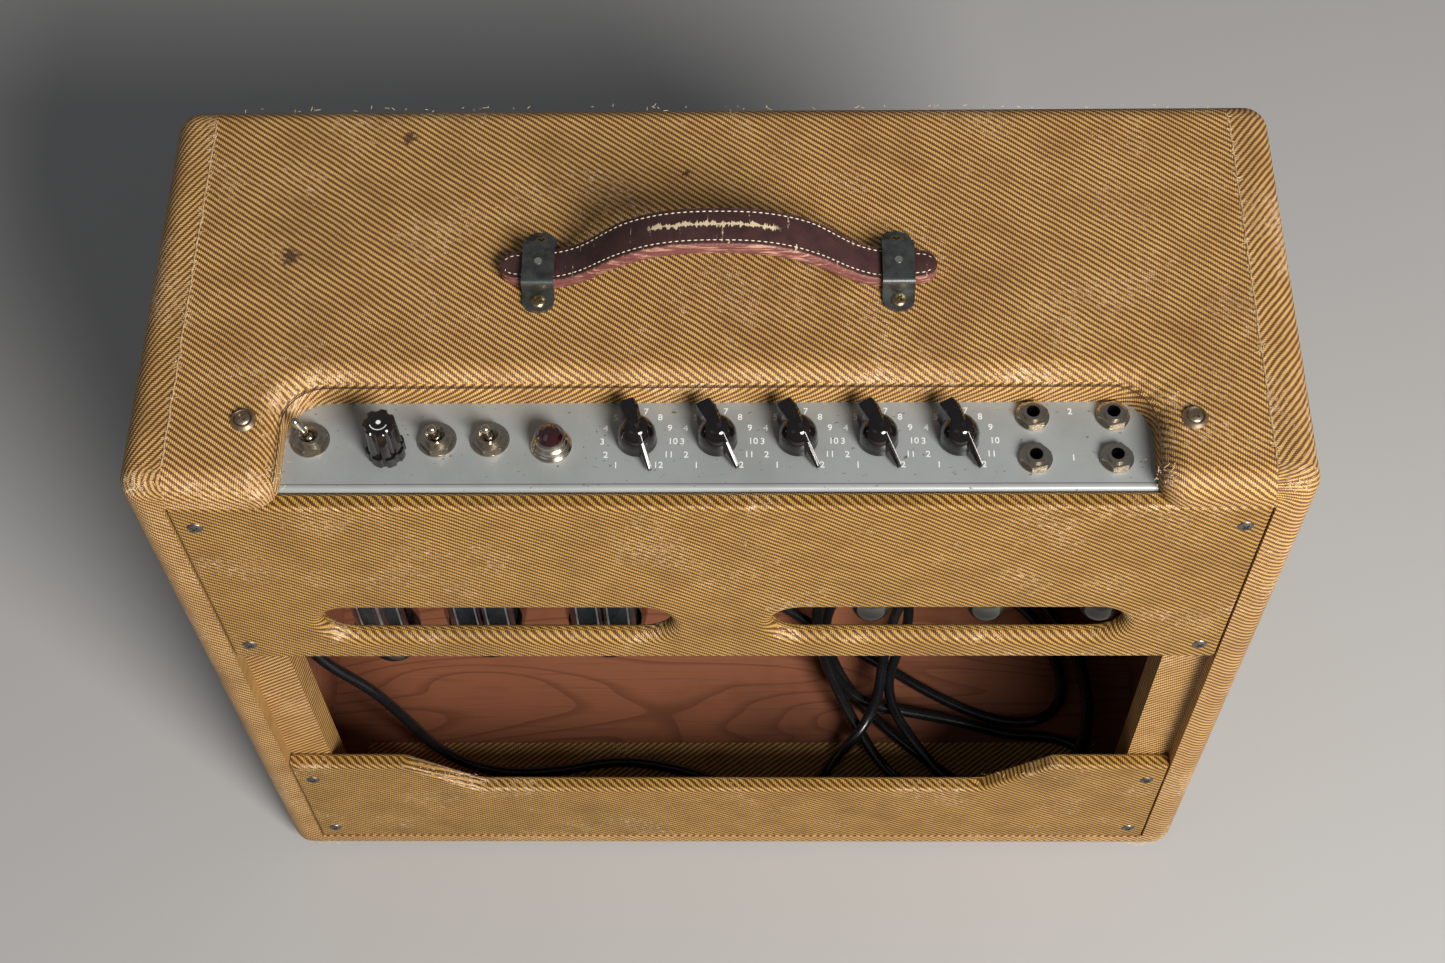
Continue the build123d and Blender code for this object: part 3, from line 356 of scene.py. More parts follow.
def control_plate():
    """Chrome plating drawn as satin grey, its grey a painted reflection of the room, with faint brushing, scuffs,
    small dark pits and a dark line along the fold.
    """
    g = Graph("control_plate", Metallic=0.25)
    place = g.coords()
    brushed = g.noise(g.stretch(place, (25, 900, 900)), 1.0, 3, 0.7)
    smear = g.noise(place, 22.0, 4, 0.6)
    pits = g.noise(g.stretch(place, (1, 1.6, 1)), 310.0, 2, 0.5)
    scratch = g.noise(g.stretch(place, (900, 60, 60)), 1.0, 2, 0.8)
    # Painted reflection: these two greys stand for the room mirrored in the chrome plating
    base = g.mix(g.step(smear, 0.35, 0.75), (0.335, 0.352, 0.348), (0.275, 0.288, 0.28))
    base = g.mix(g.times(g.step(pits, 0.69, 0.76), 0.8), base, (0.08, 0.06, 0.05))
    base = g.mix(g.times(g.step(scratch, 0.7, 0.8), 0.25), base, (0.66, 0.66, 0.64))
    from_line = g.calc("ABSOLUTE", g.minus(g.split(place)[1], FOLD_LINE_Y))
    line = g.step(from_line, 0.38 * MM, 0.18 * MM)
    base = g.mix(g.times(line, 0.8), base, (0.13, 0.085, 0.085))
    g.set("Base Color", base)
    g.set("Roughness", g.step(g.plus(brushed, smear), 0.7, 1.3, 0.3, 0.46))
    g.bump(brushed, 0.012 * MM)
    return g.material


def clamp_steel():
    """Blued and worn steel, with a paler rivet head in the middle of each clamp."""
    g = Graph("clamp_steel", Metallic=0.9)
    place = g.coords()
    x, y, _ = g.split(place)
    cloud = g.noise(place, 120.0, 5, 0.65)
    base = g.mix(g.step(cloud, 0.35, 0.7), (0.2, 0.215, 0.21), (0.075, 0.075, 0.068))
    edge = g.noise(place, 420.0, 3, 0.7)
    base = g.mix(g.times(g.step(edge, 0.6, 0.75), 0.5), base, (0.3, 0.26, 0.2))
    side = g.minus(g.calc("ABSOLUTE", x), CLAMP_X)
    ahead = g.minus(y, STRAP_Y)
    reach = g.calc("SQRT", g.plus(g.times(side, side), g.times(ahead, ahead)))
    base = g.mix(g.step(reach, 2.2 * MM, 1.6 * MM), base, (0.48, 0.48, 0.46))
    g.set("Base Color", base)
    g.set("Roughness", g.step(cloud, 0.3, 0.75, 0.26, 0.5))
    g.bump(edge, 0.04 * MM)
    return g.material


def clear_glass(name, tint, alpha, getter=None, silver=None):
    """Thin smoky envelope. getter is the height below which the inside is coated with silver, a colour."""
    g = Graph(name, Roughness=0.08, Specular_IOR_Level=0.3)
    place = g.coords()
    smear = g.noise(place, 70.0, 3, 0.6)
    colour, opacity = tint, g.step(smear, 0.3, 0.8, alpha * 0.8, min(1.0, alpha * 1.3))
    if getter is not None:
        height = g.plus(g.split(place)[2], g.times(smear, 6 * MM))
        silvered = g.step(height, getter + 7 * MM, getter)
        colour = g.mix(silvered, tint, silver)
        opacity = g.calc("MAXIMUM", opacity, silvered)
        g.set("Metallic", g.times(silvered, 0.1))
    g.set("Base Color", colour)
    g.set("Alpha", opacity)
    return g.material


def jewel_glass():
    """Deep red cut glass with faint facets."""
    g = Graph("red_jewel", Roughness=0.05, Coat_Weight=1.0, Specular_IOR_Level=0.8)
    place = g.coords()
    facets = g.node("ShaderNodeTexVoronoi", place)
    facets.inputs["Scale"].default_value = 520
    g.set("Base Color", g.mix(g.noise(place, 300.0, 2), (0.008, 0.0003, 0.0005), (0.026, 0.001, 0.0015)))
    g.bump(facets.outputs["Distance"], 0.06 * MM)
    return g.material


def leather_top():
    """Dark maroon leather: cross cracks, bare cream on the crown and rim, and raw red-brown cut edges."""
    g = Graph("strap_leather", Specular_IOR_Level=0.45)
    plan = g.coords("UV")
    along, across, _ = g.split(plan)
    grain = g.noise(plan, 2.2, 4, 0.7)
    cloud = g.noise(plan, 0.12, 4, 0.6)
    colour = g.mix(g.step(cloud, 0.3, 0.75), (0.058, 0.024, 0.022), (0.032, 0.014, 0.014))
    ragged = g.minus(g.noise(g.stretch(plan, (0.5, 0.1, 1)), 1.0, 3, 0.7), 0.5)
    sway = g.noise(g.stretch(plan, (0.06, 0.0, 1)), 1.0, 2)
    wander = g.times(g.minus(sway, 0.5), 4.0)
    breaks = g.noise(g.stretch(plan, (0.16, 0.05, 1)), 1.0, 3, 0.7)
    ridge = g.calc("ABSOLUTE", g.plus(g.minus(across, 0.6), wander))
    reach = g.step(g.calc("ABSOLUTE", g.plus(along, 2.0)), 33.0, 28.0)
    thick = g.step(ragged, -0.1, 0.16, 0.25, 2.3)
    crown = g.step(g.minus(ridge, thick), 0.25, -0.1)
    crown = g.times(g.times(crown, reach), g.step(breaks, 0.38, 0.43))
    cuts = g.noise(g.stretch(plan, (0.55, 0.04, 1)), 1.0, 2, 0.6)
    cracks = g.times(g.step(cuts, 0.655, 0.675), g.step(g.noise(plan, 0.6, 2), 0.42, 0.6))
    rim = g.step(g.plus(g.painted("rim"), g.times(ragged, 0.35)), 0.9, 0.97)
    bare = g.calc("MAXIMUM", g.calc("MAXIMUM", crown, cracks), g.times(rim, 0.8))
    top = g.mix(bare, colour, g.mix(grain, (0.72, 0.6, 0.4), (0.5, 0.38, 0.24)))
    place = g.coords()
    fibres = g.noise(g.stretch(place, (60, 500, 900)), 1.0, 4, 0.7)
    rub = g.noise(g.stretch(place, (70, 300, 700)), 1.0, 4, 0.65)
    cut = g.mix(fibres, (0.2, 0.062, 0.05), (0.1, 0.028, 0.024))
    cut = g.mix(g.times(g.step(rub, 0.5, 0.64), 0.75), cut, (0.52, 0.28, 0.19))
    g.set("Base Color", g.mix(g.painted("raw"), top, cut))
    g.set("Roughness", g.step(bare, 0.0, 1.0, 0.42, 0.85))
    height = g.minus(g.times(grain, 0.5), g.times(bare, 0.9))
    g.bump(height, 0.16 * MM)
    return g.material


WEAVE_PITCH = 1.6 * MM
GOLD_LINE_PITCH = 9 * MM


def grille_weave():
    """Open woven grille cloth with a fine two-way weave and upright gold lines."""
    g = Graph("grille_weave", Roughness=0.85)
    x, _, z = g.split(g.coords())

    def wave(place, pitch):
        return g.calc("SINE", g.times(place, 2 * math.pi / pitch))

    weave = g.times(wave(x, WEAVE_PITCH), wave(z, WEAVE_PITCH))
    colour = g.mix(g.step(weave, -0.4, 0.6), (0.055, 0.02, 0.013), (0.24, 0.11, 0.06))
    line = g.step(wave(x, GOLD_LINE_PITCH), 0.93, 0.99)
    g.set("Base Color", g.mix(line, colour, (0.5, 0.34, 0.12)))
    g.bump(weave, 0.3 * MM)
    return g.material


def speckled(name, first, second, scale, rough, grain=0.1):
    """A two-tone matt surface such as fibre board, paper or a painted line."""
    g = Graph(name)
    place = g.coords()
    mottle = g.noise(place, scale, 5, 0.7)
    g.set("Base Color", g.mix(g.step(mottle, 0.35, 0.7), first, second))
    g.set("Roughness", g.step(mottle, 0.2, 0.8, rough * 0.85, min(1.0, rough * 1.1)))
    g.bump(mottle, grain * MM)
    return g.material


def banded_parts():
    """Moulded capacitors and resistors with coloured bands."""
    g = Graph("banded_parts", Roughness=0.4)
    x, _, z = g.split(g.coords())
    columns = g.calc("FRACT", g.calc("DIVIDE", x, 63 * MM))
    rows = g.calc("FRACT", g.calc("DIVIDE", z, 11 * MM))
    body = g.mix(g.step(columns, 0.34, 0.36), (0.62, 0.36, 0.05), (0.35, 0.05, 0.03))
    g.set("Base Color", g.mix(g.step(rows, 0.72, 0.76), body, (0.05, 0.03, 0.02)))
    g.bump(g.noise(g.coords(), 400.0, 2), 0.02 * MM)
    return g.material


def valve_height(node):
    """The height at which a valve's silvered tip begins."""
    low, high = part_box(node)
    return low.z + 0.16 * (high.z - low.z)


# Finishes by material slot, and then by node where a node differs from its slot
finish = {
    "tweed": tweed("tweed_cloth", (0.64, 0.38, 0.125), (0.1, 0.04, 0.012), (0.52, 0.29, 0.09)),
    "pine": wood("pine_boards", (0.228, 0.082, 0.04), (0.12, 0.038, 0.018)),
    "pine_panels": wood("pine_panels", (0.47, 0.22, 0.11), (0.28, 0.11, 0.05), rings=18),
    "baffle_ply": wood("baffle_plywood", (0.3, 0.145, 0.075), (0.2, 0.085, 0.04), along="Z", rings=14),
    "plated_steel": control_plate(),
    "nickel": metal("aged_nickel", (0.6, 0.54, 0.45), 0.2, (0.26, 0.18, 0.11), 0.5, 260, pits=0.004),
    "aged_steel": metal("aged_steel", (0.205, 0.2, 0.185), 0.4, (0.06, 0.052, 0.045), 0.75, 170, pits=0.06),
    "zinc": metal("zinc_plate", (0.47, 0.46, 0.42), 0.38, (0.26, 0.22, 0.16), 0.4, 120),
    "capacitor_can": metal(
        "capacitor_can", (0.56, 0.56, 0.54), 0.35, (0.35, 0.33, 0.28), 0.3, 60, (1, 1, 0.2)
    ),
    "leather": leather_top(),
    "transformer": enamel("transformer_enamel", (0.02, 0.02, 0.022), 0.35, (0.2, 0.17, 0.13), 0.22, 0.05),
    "rubber": enamel("cord_rubber", (0.006, 0.006, 0.007), 0.24, (0.12, 0.1, 0.08), 0.07, 0.03, 45),
    "bakelite": enamel(
        "polished_bakelite", (0.006, 0.005, 0.005), 0.12, (0.14, 0.11, 0.08), 0.06, 0.01, 110, 0.4
    ),
    "knob_plastic": enamel(
        "knob_plastic", (0.004, 0.003, 0.003), 0.09, (0.12, 0.08, 0.06), 0.035, 0.004, 130, 0.4
    ),
    "sockets": enamel("brown_phenolic", (0.07, 0.032, 0.016), 0.4, (0.25, 0.2, 0.15), 0.2, 0.04),
    "basket_steel": enamel("basket_enamel", (0.09, 0.095, 0.1), 0.42, (0.3, 0.26, 0.2), 0.2, 0.04),
    "magnet_paint": enamel("magnet_enamel", (0.05, 0.065, 0.1), 0.38, (0.3, 0.26, 0.2), 0.2, 0.04),
    "fibre_board": speckled("waxed_fibre", (0.035, 0.032, 0.03), (0.065, 0.055, 0.045), 240, 0.55),
    "components": banded_parts(),
    "fuse_glass": clear_glass("fuse_glass", (0.85, 0.9, 0.9), 0.3),
    "bulb_glass": clear_glass("bulb_glass", (0.95, 0.85, 0.7), 0.4),
    "jewel": jewel_glass(),
    "grille": grille_weave(),
    "cone_paper": speckled("cone_paper", (0.03, 0.028, 0.026), (0.055, 0.05, 0.045), 420, 0.9, 0.2),
    # Painted shade: the back panels carry the same tweed as the top, painted darker so their upright faces don't
    # come out too bright
    "tweed_back": tweed("tweed_panels_painted_shade", (0.5, 0.275, 0.058), (0.056, 0.022, 0.005), (0.39, 0.208, 0.04)),
    "handle_screws": metal("brass_screws", (0.4, 0.31, 0.17), 0.34, (0.1, 0.07, 0.04), 0.6, 300),
    "chassis_screws_and_washers": metal(
        "dull_screws", (0.42, 0.33, 0.24), 0.42, (0.16, 0.1, 0.06), 0.7, 260
    ),
    "back_panel_screws": metal("dark_screws", (0.2, 0.185, 0.17), 0.42, (0.07, 0.05, 0.04), 0.7, 260),
    "handle_clamps": clamp_steel(),
}
finish["tweed_cleats"] = finish["tweed"]
for node_name in ("rectifier_tube", "power_tubes"):
    finish[node_name] = clear_glass(
        node_name + "_glass", (0.01, 0.013, 0.018), 0.35, valve_height(node_name), (0.012, 0.015, 0.02)
    )
finish["preamp_tubes"] = clear_glass(
    "preamp_glass", (0.09, 0.095, 0.09), 0.5, valve_height("preamp_tubes") + 12 * MM, (0.05, 0.048, 0.04)
)

slots = {part["node"]: part["material_slot"] for part in frame["record"]["subparts"]}
for name, node in nodes.items():
    node.data.materials.clear()
    node.data.materials.append(finish.get(name) or finish[slots[name]])


# ---- tweed covering ----
def settle_normals(mesh, limit):
    """Shades by the larger faces, so that flat cloth stays flat up to the edge of each roll."""
    around = {}
    for polygon in mesh.polygons:
        for index in polygon.vertices:
            around.setdefault(index, []).append(polygon)
    least = math.cos(math.radians(limit))
    shaded = [None] * len(mesh.loops)
    for polygon in mesh.polygons:
        for corner in polygon.loop_indices:
            meeting = around[mesh.loops[corner].vertex_index]
            near = [p for p in meeting if p.normal.dot(polygon.normal) > least]
            total = sum((p.normal * p.area for p in near), Vector())
            shaded[corner] = total.normalized() if total.length > 0 else polygon.normal.copy()
    mesh.shade_smooth()
    mesh.normals_split_custom_set(shaded)
    return shaded


def cloth_mesh(node, cuts):
    """A copy of a cloth skin's mesh, cut along planes where the cloth is seamed or folded."""
    def build(bm):
        bm.from_mesh(nodes[node].data)
        bmesh.ops.remove_doubles(bm, verts=bm.verts, dist=2e-6)
        for point, normal in cuts:
            everything = bm.verts[:] + bm.edges[:] + bm.faces[:]
            bmesh.ops.bisect_plane(bm, geom=everything, plane_co=point, plane_no=normal)

    return mesh_from(build, node + "_cloth")


def unrolled(flat, outward, tilt, radius, beyond):
    """Flat-plan place of a point that has gone round an edge of that radius by tilt, and then beyond it."""
    if outward.length < 1e-6:
        return flat
    return flat + outward.normalized() * (radius * (tilt - math.sin(tilt)) + beyond)


def tilt_from(normal_part):
    """How far a normal has turned from the way that its flat cloth faces."""
    return math.acos(max(-1.0, min(1.0, normal_part)))


# Each plan_ function lays a point out flat, from its place and the way that it faces
def plan_top(place, normal):
    """The cloth over the top board."""
    beyond = max(0.0, TOP - ROUND_OVER - place.z) if normal.z < 0.1 else 0.0
    flat, outward = Vector((place.x, place.y)), Vector((normal.x, normal.y))
    return unrolled(flat, outward, tilt_from(normal.z), ROUND_OVER, beyond)


def plan_bottom(place, normal):
    """The cloth under the bottom board."""
    beyond = max(0.0, place.z - BOTTOM - ROUND_OVER) if normal.z > -0.1 else 0.0
    flat, outward = Vector((-place.x, place.y)), Vector((-normal.x, normal.y))
    return unrolled(flat, outward, tilt_from(-normal.z), ROUND_OVER, beyond)


def plan_side(place, normal):
    """The cloth on a side board, which runs on over the top as far as the seam."""
    way = math.copysign(1, place.x)
    beyond = max(0.0, SIDE - ROUND_OVER - abs(place.x)) if abs(normal.x) < 0.1 else 0.0
    flat, outward = Vector((place.y, place.z)), Vector((normal.y, normal.z))
    plan = unrolled(flat, outward, tilt_from(normal.x * way), ROUND_OVER, beyond)
    return Vector((plan.x * way, plan.y))


def plan_lip(place, normal):
    """The narrow strip on the wall of the control opening, which runs round its two corners."""
    corner_x, corner_y = CUTOUT_HALF - CUTOUT_CORNER, REAR + CUTOUT_DEPTH - CUTOUT_CORNER
    out_x, out_y = abs(place.x) - corner_x, place.y - corner_y
    if out_x <= 0:
        run = abs(place.x)
    elif out_y >= 0:
        run = corner_x + CUTOUT_CORNER * math.atan2(out_x, out_y)
    else:
        run = corner_x + CUTOUT_CORNER * math.pi / 2 - out_y
    return Vector((-math.copysign(run, place.x), place.z))


def plan_back(place, normal):
    """The cloth on a back panel, which wraps its edges and slots."""
    beyond = max(0.0, place.y - REAR - PANEL_ROLL) if normal.y > -0.1 else 0.0
    flat, outward = Vector((place.x, place.z)), Vector((normal.x, normal.z))
    return unrolled(flat, outward, tilt_from(-normal.y), PANEL_ROLL, beyond)


def plan_front(place, normal):
    """The cloth on the strips at the front and on the cleats, laid by its steepest side."""
    if abs(normal.x) > 0.7:
        return Vector((place.y, place.z))
    return Vector((-place.x, place.z - place.y))


def cabinet_region(place, normal):
    """Which stretch of the covering a point of the cabinet belongs to."""
    in_cutout = abs(place.x) < CUTOUT_HALF + 1 * MM and place.y < REAR + CUTOUT_DEPTH + ROUND_OVER
    on_wall = abs(normal.y) + abs(normal.x) > 0.3
    if PANEL - 1 * MM < place.z < LIP_FOLD and in_cutout and on_wall:
        return plan_lip
    if abs(place.x) > SEAM_X:
        return plan_side
    if place.z > (TOP + BOTTOM) / 2:
        return plan_top
    return plan_bottom


# Brown stains on the top: X from the middle and Y from the back, reach, all in millimetres, and darkness
SOILED = (((-210.6, 131.9), 11.0, 0.8), ((-157.5, 206.3), 9.0, 0.8), ((-16.8, 182.9), 4.0, 0.9))
# Pleats round each corner of the opening: how far out they lie, in millimetres, and waves in a full turn
PLEAT_MIDDLE = 27
PLEAT_REACH = 25
PLEAT_WAVES = 17


def paint_cloth(mesh, region_of):
    """Gives the cloth its flat plan, and its worn, soiled and pleated places."""
    mesh.uv_layers.new(name="plan")
    mesh.attributes.new("wear", "FLOAT", "CORNER")
    mesh.attributes.new("soil", "FLOAT", "POINT")
    mesh.attributes.new("pleat", "FLOAT", "POINT")
    plan = mesh.uv_layers["plan"]
    wear, soil, pleat = (mesh.attributes[painted] for painted in ("wear", "soil", "pleat"))
    normals = settle_normals(mesh, 38)
    for polygon in mesh.polygons:
        lay = region_of(polygon.center, polygon.normal)
        for corner in polygon.loop_indices:
            place = mesh.vertices[mesh.loops[corner].vertex_index].co
            normal = normals[corner]
            plan.data[corner].uv = lay(place, normal) / MM
            lean = sorted((abs(normal.x), abs(normal.y), abs(normal.z)))
            wear.data[corner].value = min(1.0, 1.2 * max(0.0, lean[1] - 0.15) + 3.0 * lean[0])
    for vertex in mesh.vertices:
        place = vertex.co
        if place.z > TOP - 1 * MM:
            for (x, y), size, depth in SOILED:
                gap = math.hypot(place.x / MM - x, (place.y - REAR) / MM - y) / size
                stain = soil.data[vertex.index]
                stain.value = max(stain.value, depth * max(0.0, 1 - gap))
        out_x = abs(place.x) - CUTOUT_HALF + CUTOUT_CORNER
        out_y = place.y - REAR - CUTOUT_DEPTH + CUTOUT_CORNER
        away = math.hypot(out_x, out_y) / MM
        if place.z > PANEL and min(out_x, out_y) > -6 * MM and away < PLEAT_MIDDLE + PLEAT_REACH:
            fade = max(0.0, 1 - abs(away - PLEAT_MIDDLE) / PLEAT_REACH)
            pleat.data[vertex.index].value = fade * math.sin(math.atan2(out_y, out_x) * PLEAT_WAVES)


def cut_fine(mesh, low, high, pitch):
    """Divides the faces inside a box of the plan X and Y, so that painted places keep their shape."""
    bm = bmesh.new()
    bm.from_mesh(mesh)
    for axis in (0, 1):
        count = int((high[axis] - low[axis]) / pitch)
        for index in range(count + 1):
            at, normal = [0, 0, 0], [0, 0, 0]
            at[axis] = low[axis] + pitch * index
            normal[axis] = 1
            inside = [
                f for f in bm.faces
                if f.normal.z > 0.3 and any(v.co.z > TOP - ROUND_OVER for v in f.verts)
                and all(max(v.co[i] for v in f.verts) > low[i] for i in (0, 1))
                and all(min(v.co[i] for v in f.verts) < high[i] for i in (0, 1))
            ]
            edges = {e for f in inside for e in f.edges}
            verts = {v for f in inside for v in f.verts}
            bmesh.ops.bisect_plane(bm, geom=[*verts, *edges, *inside], plane_co=at, plane_no=normal)
    bm.to_mesh(mesh)
    bm.free()


def cover_cabinet():
    cuts = [((side * SEAM_X, 0, 0), (1, 0, 0)) for side in (-1, 1)]
    cuts += [((0, 0, LIP_FOLD), (0, 0, 1)), ((0, 0, (TOP + BOTTOM) / 2), (0, 0, 1))]
    mesh = cloth_mesh("cabinet_tweed", cuts)
    for (x, y), size, _ in SOILED:
        spot, reach = Vector((x * MM, REAR + y * MM)), Vector((size, size)) * MM
        cut_fine(mesh, spot - reach, spot + reach, 4 * MM)
    for side in (-1, 1):
        pleats = Vector((side * (CUTOUT_HALF + 4 * MM), REAR + 61 * MM))
        reach = Vector((32, 31)) * MM
        cut_fine(mesh, pleats - reach, pleats + reach, 3 * MM)
    paint_cloth(mesh, cabinet_region)
    piece = add_piece("cabinet_cloth", mesh, "cabinet", finish["tweed"])
    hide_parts("cabinet_tweed")


def cover_strip(node, lay, look):
    mesh = cloth_mesh(node, [])
    paint_cloth(mesh, lambda place, normal: lay)
    piece = add_piece(node + "_cloth", mesh, "cabinet", finish[look])
    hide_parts(node)


cover_cabinet()
cover_strip("upper_back_tweed", plan_back, "tweed_back")
cover_strip("lower_back_tweed", plan_back, "tweed_back")
cover_strip("front_strips", plan_front, "tweed")
cover_strip("side_cleats", plan_front, "tweed")


# ---- loose threads and seams ----
def fray(start, outward, size):
    """One short curled thread that stands off the cloth at start."""
    reach = size * chance.uniform(0.5, 1.0) * MM
    aim = Vector([chance.uniform(-1, 1) for _ in range(3)])
    aim = (aim - outward * aim.dot(outward)) * 0.9 + outward * chance.uniform(0.05, 0.3)
    swing = aim.cross(outward) * chance.uniform(-0.8, 0.8)
    foot = start + outward * 0.05 * MM
    return [foot, foot + aim * reach * 0.4 + swing * reach * 0.15, foot + aim * reach + swing * reach * 0.6]


def loose_threads():
    """Frayed threads along the seams, the rear corners, the opening's ends and the worn edges."""
    up, back = Vector((0, 0, 1)), Vector((0, -1, 0))
    slanting = (up + back).normalized()
    front_edge = FRONT - 4 * MM
    lower_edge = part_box("lower_back_tweed")[1].z
    threads = []
    for side in (-1, 1):
        for _ in range(150):
            y = chance.uniform(REAR + 8 * MM, front_edge - 6 * MM)
            x = side * (SEAM_X + chance.gauss(0, 0.5) * MM)
            threads.append(fray(Vector((x, y, TOP)), up, 3.2))
        for _ in range(26):
            x = side * chance.uniform(262, 272) * MM
            y = REAR + chance.uniform(0, 6) * MM
            threads.append(fray(Vector((x, y, TOP - 3 * MM)), slanting, 3.4))
        for _ in range(18):
            x = side * (CUTOUT_HALF + chance.uniform(-8, 6) * MM)
            y = REAR + chance.uniform(2, 16) * MM
            threads.append(fray(Vector((x, y, TOP - 1.5 * MM)), slanting, 3.0))
        for _ in range(26):
            x = side * chance.uniform(252, 268) * MM
            z = BOTTOM + chance.uniform(3, 12) * MM
            threads.append(fray(Vector((x, REAR + 1 * MM, z)), back, 3.6))
    for _ in range(60):
        x = chance.uniform(-250, 250) * MM
        y = front_edge + chance.uniform(-2, 1) * MM
        threads.append(fray(Vector((x, y, TOP - 0.3 * MM)), up, 3.0))
    for side in (-1, 1):
        for _ in range(16):
            x = side * chance.uniform(150, 192) * MM
            threads.append(fray(Vector((x, REAR + 1 * MM, lower_edge - 12 * MM)), slanting, 4.0))
    look = speckled("pale_thread", (0.72, 0.58, 0.38), (0.55, 0.4, 0.22), 900.0, 0.9)
    line_curve("loose_threads", threads, 0.13 * MM, 0, look)


def seam_ridges():
    """The raised cut edge of the top cloth along each seam."""
    front_edge = FRONT - 11 * MM
    lines = []
    for side in (-1, 1):
        y, line = REAR + 12 * MM, []
        while y < front_edge:
            line.append(Vector((side * SEAM_X + chance.gauss(0, 0.22) * MM, y, TOP + 0.02 * MM)))
            y += 4 * MM
        lines.append(line)
    look = speckled("seam_thread", (0.55, 0.38, 0.19), (0.2, 0.1, 0.045), 420.0, 0.9, 0.3)
    line_curve("seam_ridges", lines, 0.42 * MM, 1, look)


def lip_crease():
    """A painted shadow line where the cloth folds down into the opening, round its two corners: a dark thread."""
    inset = 0.05 * MM
    half, wall, corner = CUTOUT_HALF - inset, REAR + CUTOUT_DEPTH - inset, CUTOUT_CORNER - inset
    steps = 12
    right = [Vector((half, REAR + 7 * MM, LIP_FOLD))]
    for step in range(steps + 1):
        turn = math.pi / 2 * step / steps
        x = half - corner + corner * math.cos(turn)
        y = wall - corner + corner * math.sin(turn)
        right.append(Vector((x, y, LIP_FOLD)))
    left = [Vector((-p.x, p.y, p.z)) for p in reversed(right)]
    look = speckled("crease_shadow", (0.035, 0.018, 0.008), (0.075, 0.038, 0.016), 300.0, 0.95)
    line_curve("lip_crease", [right + left], 0.34 * MM, 1, look)


seam_ridges()
lip_crease()
loose_threads()


# ---- carrying handle ----
EDGE_STITCH = 3.1 * MM
STITCH_PITCH = 3.0 * MM
STRAP_RINGS = 150
# Share of the half width, and of the height, round one half of the strap's section from crown to belly
STRAP_SECTION = [
    (0.0, 1.0), (0.3, 0.995), (0.6, 0.965), (0.76, 0.925), (0.84, 0.93), (0.93, 0.9), (0.985, 0.8),
    (1.0, 0.68), (0.985, 0.56), (0.945, 0.52), (0.985, 0.47), (1.0, 0.36), (0.985, 0.18), (0.9, 0.05),
    (0.7, 0.0), (0.3, 0.0),
]
# From this point of the section on, the leather shows its raw cut edge
EDGE_FROM = 5


class StrapShape:
    """Reads the strap's crown, belly and width at any X from its solid."""

    def __init__(self):
        mesh = nodes["handle_strap"].data
        self.tree = BVHTree.FromPolygons([v.co for v in mesh.vertices], [p.vertices for p in mesh.polygons])
        self.low, self.high, self.y = strap_low.x, strap_high.x, STRAP_Y

    def at(self, x):
        """(belly Z, crown Z, half width) at x."""
        crown = self.tree.ray_cast((x, self.y, TOP + 0.2), (0, 0, -1))[0].z
        belly = self.tree.ray_cast((x, self.y, TOP - 0.1), (0, 0, 1))[0].z
        side = self.tree.ray_cast((x, self.y + 0.1, (crown + belly) / 2), (0, -1, 0))[0].y
        return belly, crown, side - self.y


def make_strap():
    """The strap's leather, bellied and creased as its section is. Returns its shape."""
    shape = StrapShape()
    bm = bmesh.new()
    plan = bm.loops.layers.uv.new("plan")
    rim = bm.verts.layers.float.new("rim")
    raw = bm.verts.layers.float.new("raw")
    around = STRAP_SECTION + [(-w, h) for w, h in reversed(STRAP_SECTION[1:])]
    rings = []
    for index in range(STRAP_RINGS + 1):
        x = shape.low + 0.15 * MM + (shape.high - shape.low - 0.3 * MM) * index / STRAP_RINGS
        belly, crown, half = shape.at(x)
        ring = []
        for k, (across, up) in enumerate(around):
            vertex = bm.verts.new((x, shape.y + across * half, belly + up * (crown - belly)))
            vertex[rim] = abs(across)
            vertex[raw] = float(EDGE_FROM <= min(k, len(around) - k))
            ring.append(vertex)
        rings.append(ring)
    size = len(around)
    for left, right in zip(rings, rings[1:]):
        for k in range(size):
            bm.faces.new((left[k], right[k], right[(k + 1) % size], left[(k + 1) % size]))
    bm.faces.new(rings[0])
    bm.faces.new(list(reversed(rings[-1])))
    for face in bm.faces:
        for loop in face.loops:
            loop[plan].uv = (loop.vert.co.x / MM, (loop.vert.co.y - shape.y) / MM)
    bmesh.ops.recalc_face_normals(bm, faces=bm.faces)
    mesh = bpy.data.meshes.new("handle_leather")
    bm.to_mesh(mesh)
    bm.free()
    piece = add_piece("handle_leather", mesh, "cabinet", finish["leather"], smooth=55)
    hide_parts("handle_strap")
    return shape


def stitch_row(shape):
    """Places along the seam that follows the strap's outline, a little inside its edge."""
    steps = 420
    run = shape.high - shape.low - 2 * EDGE_STITCH
    outline = []
    for k in range(steps + 1):
        x = shape.low + EDGE_STITCH + run * k / steps
        belly, crown, half = shape.at(x)
        if half > EDGE_STITCH:
            outline.append((x, half - EDGE_STITCH, crown - 0.045 * (crown - belly)))
    far = [Vector((x, shape.y + y, z)) for x, y, z in outline]
    near = [Vector((x, shape.y - y, z)) for x, y, z in reversed(outline)]
    return far + near


def add_bead(bm, place, ahead, length, width, height):
    """A stitch: a small flattened bead that lies along ahead."""
    side = ahead.cross(Vector((0, 0, 1))).normalized()
    up = side.cross(ahead).normalized()
    turn = Matrix((ahead * length / 2, side * width / 2, up * height / 2)).transposed().to_4x4()
    bmesh.ops.create_icosphere(bm, subdivisions=1, radius=1, matrix=Matrix.Translation(place) @ turn)


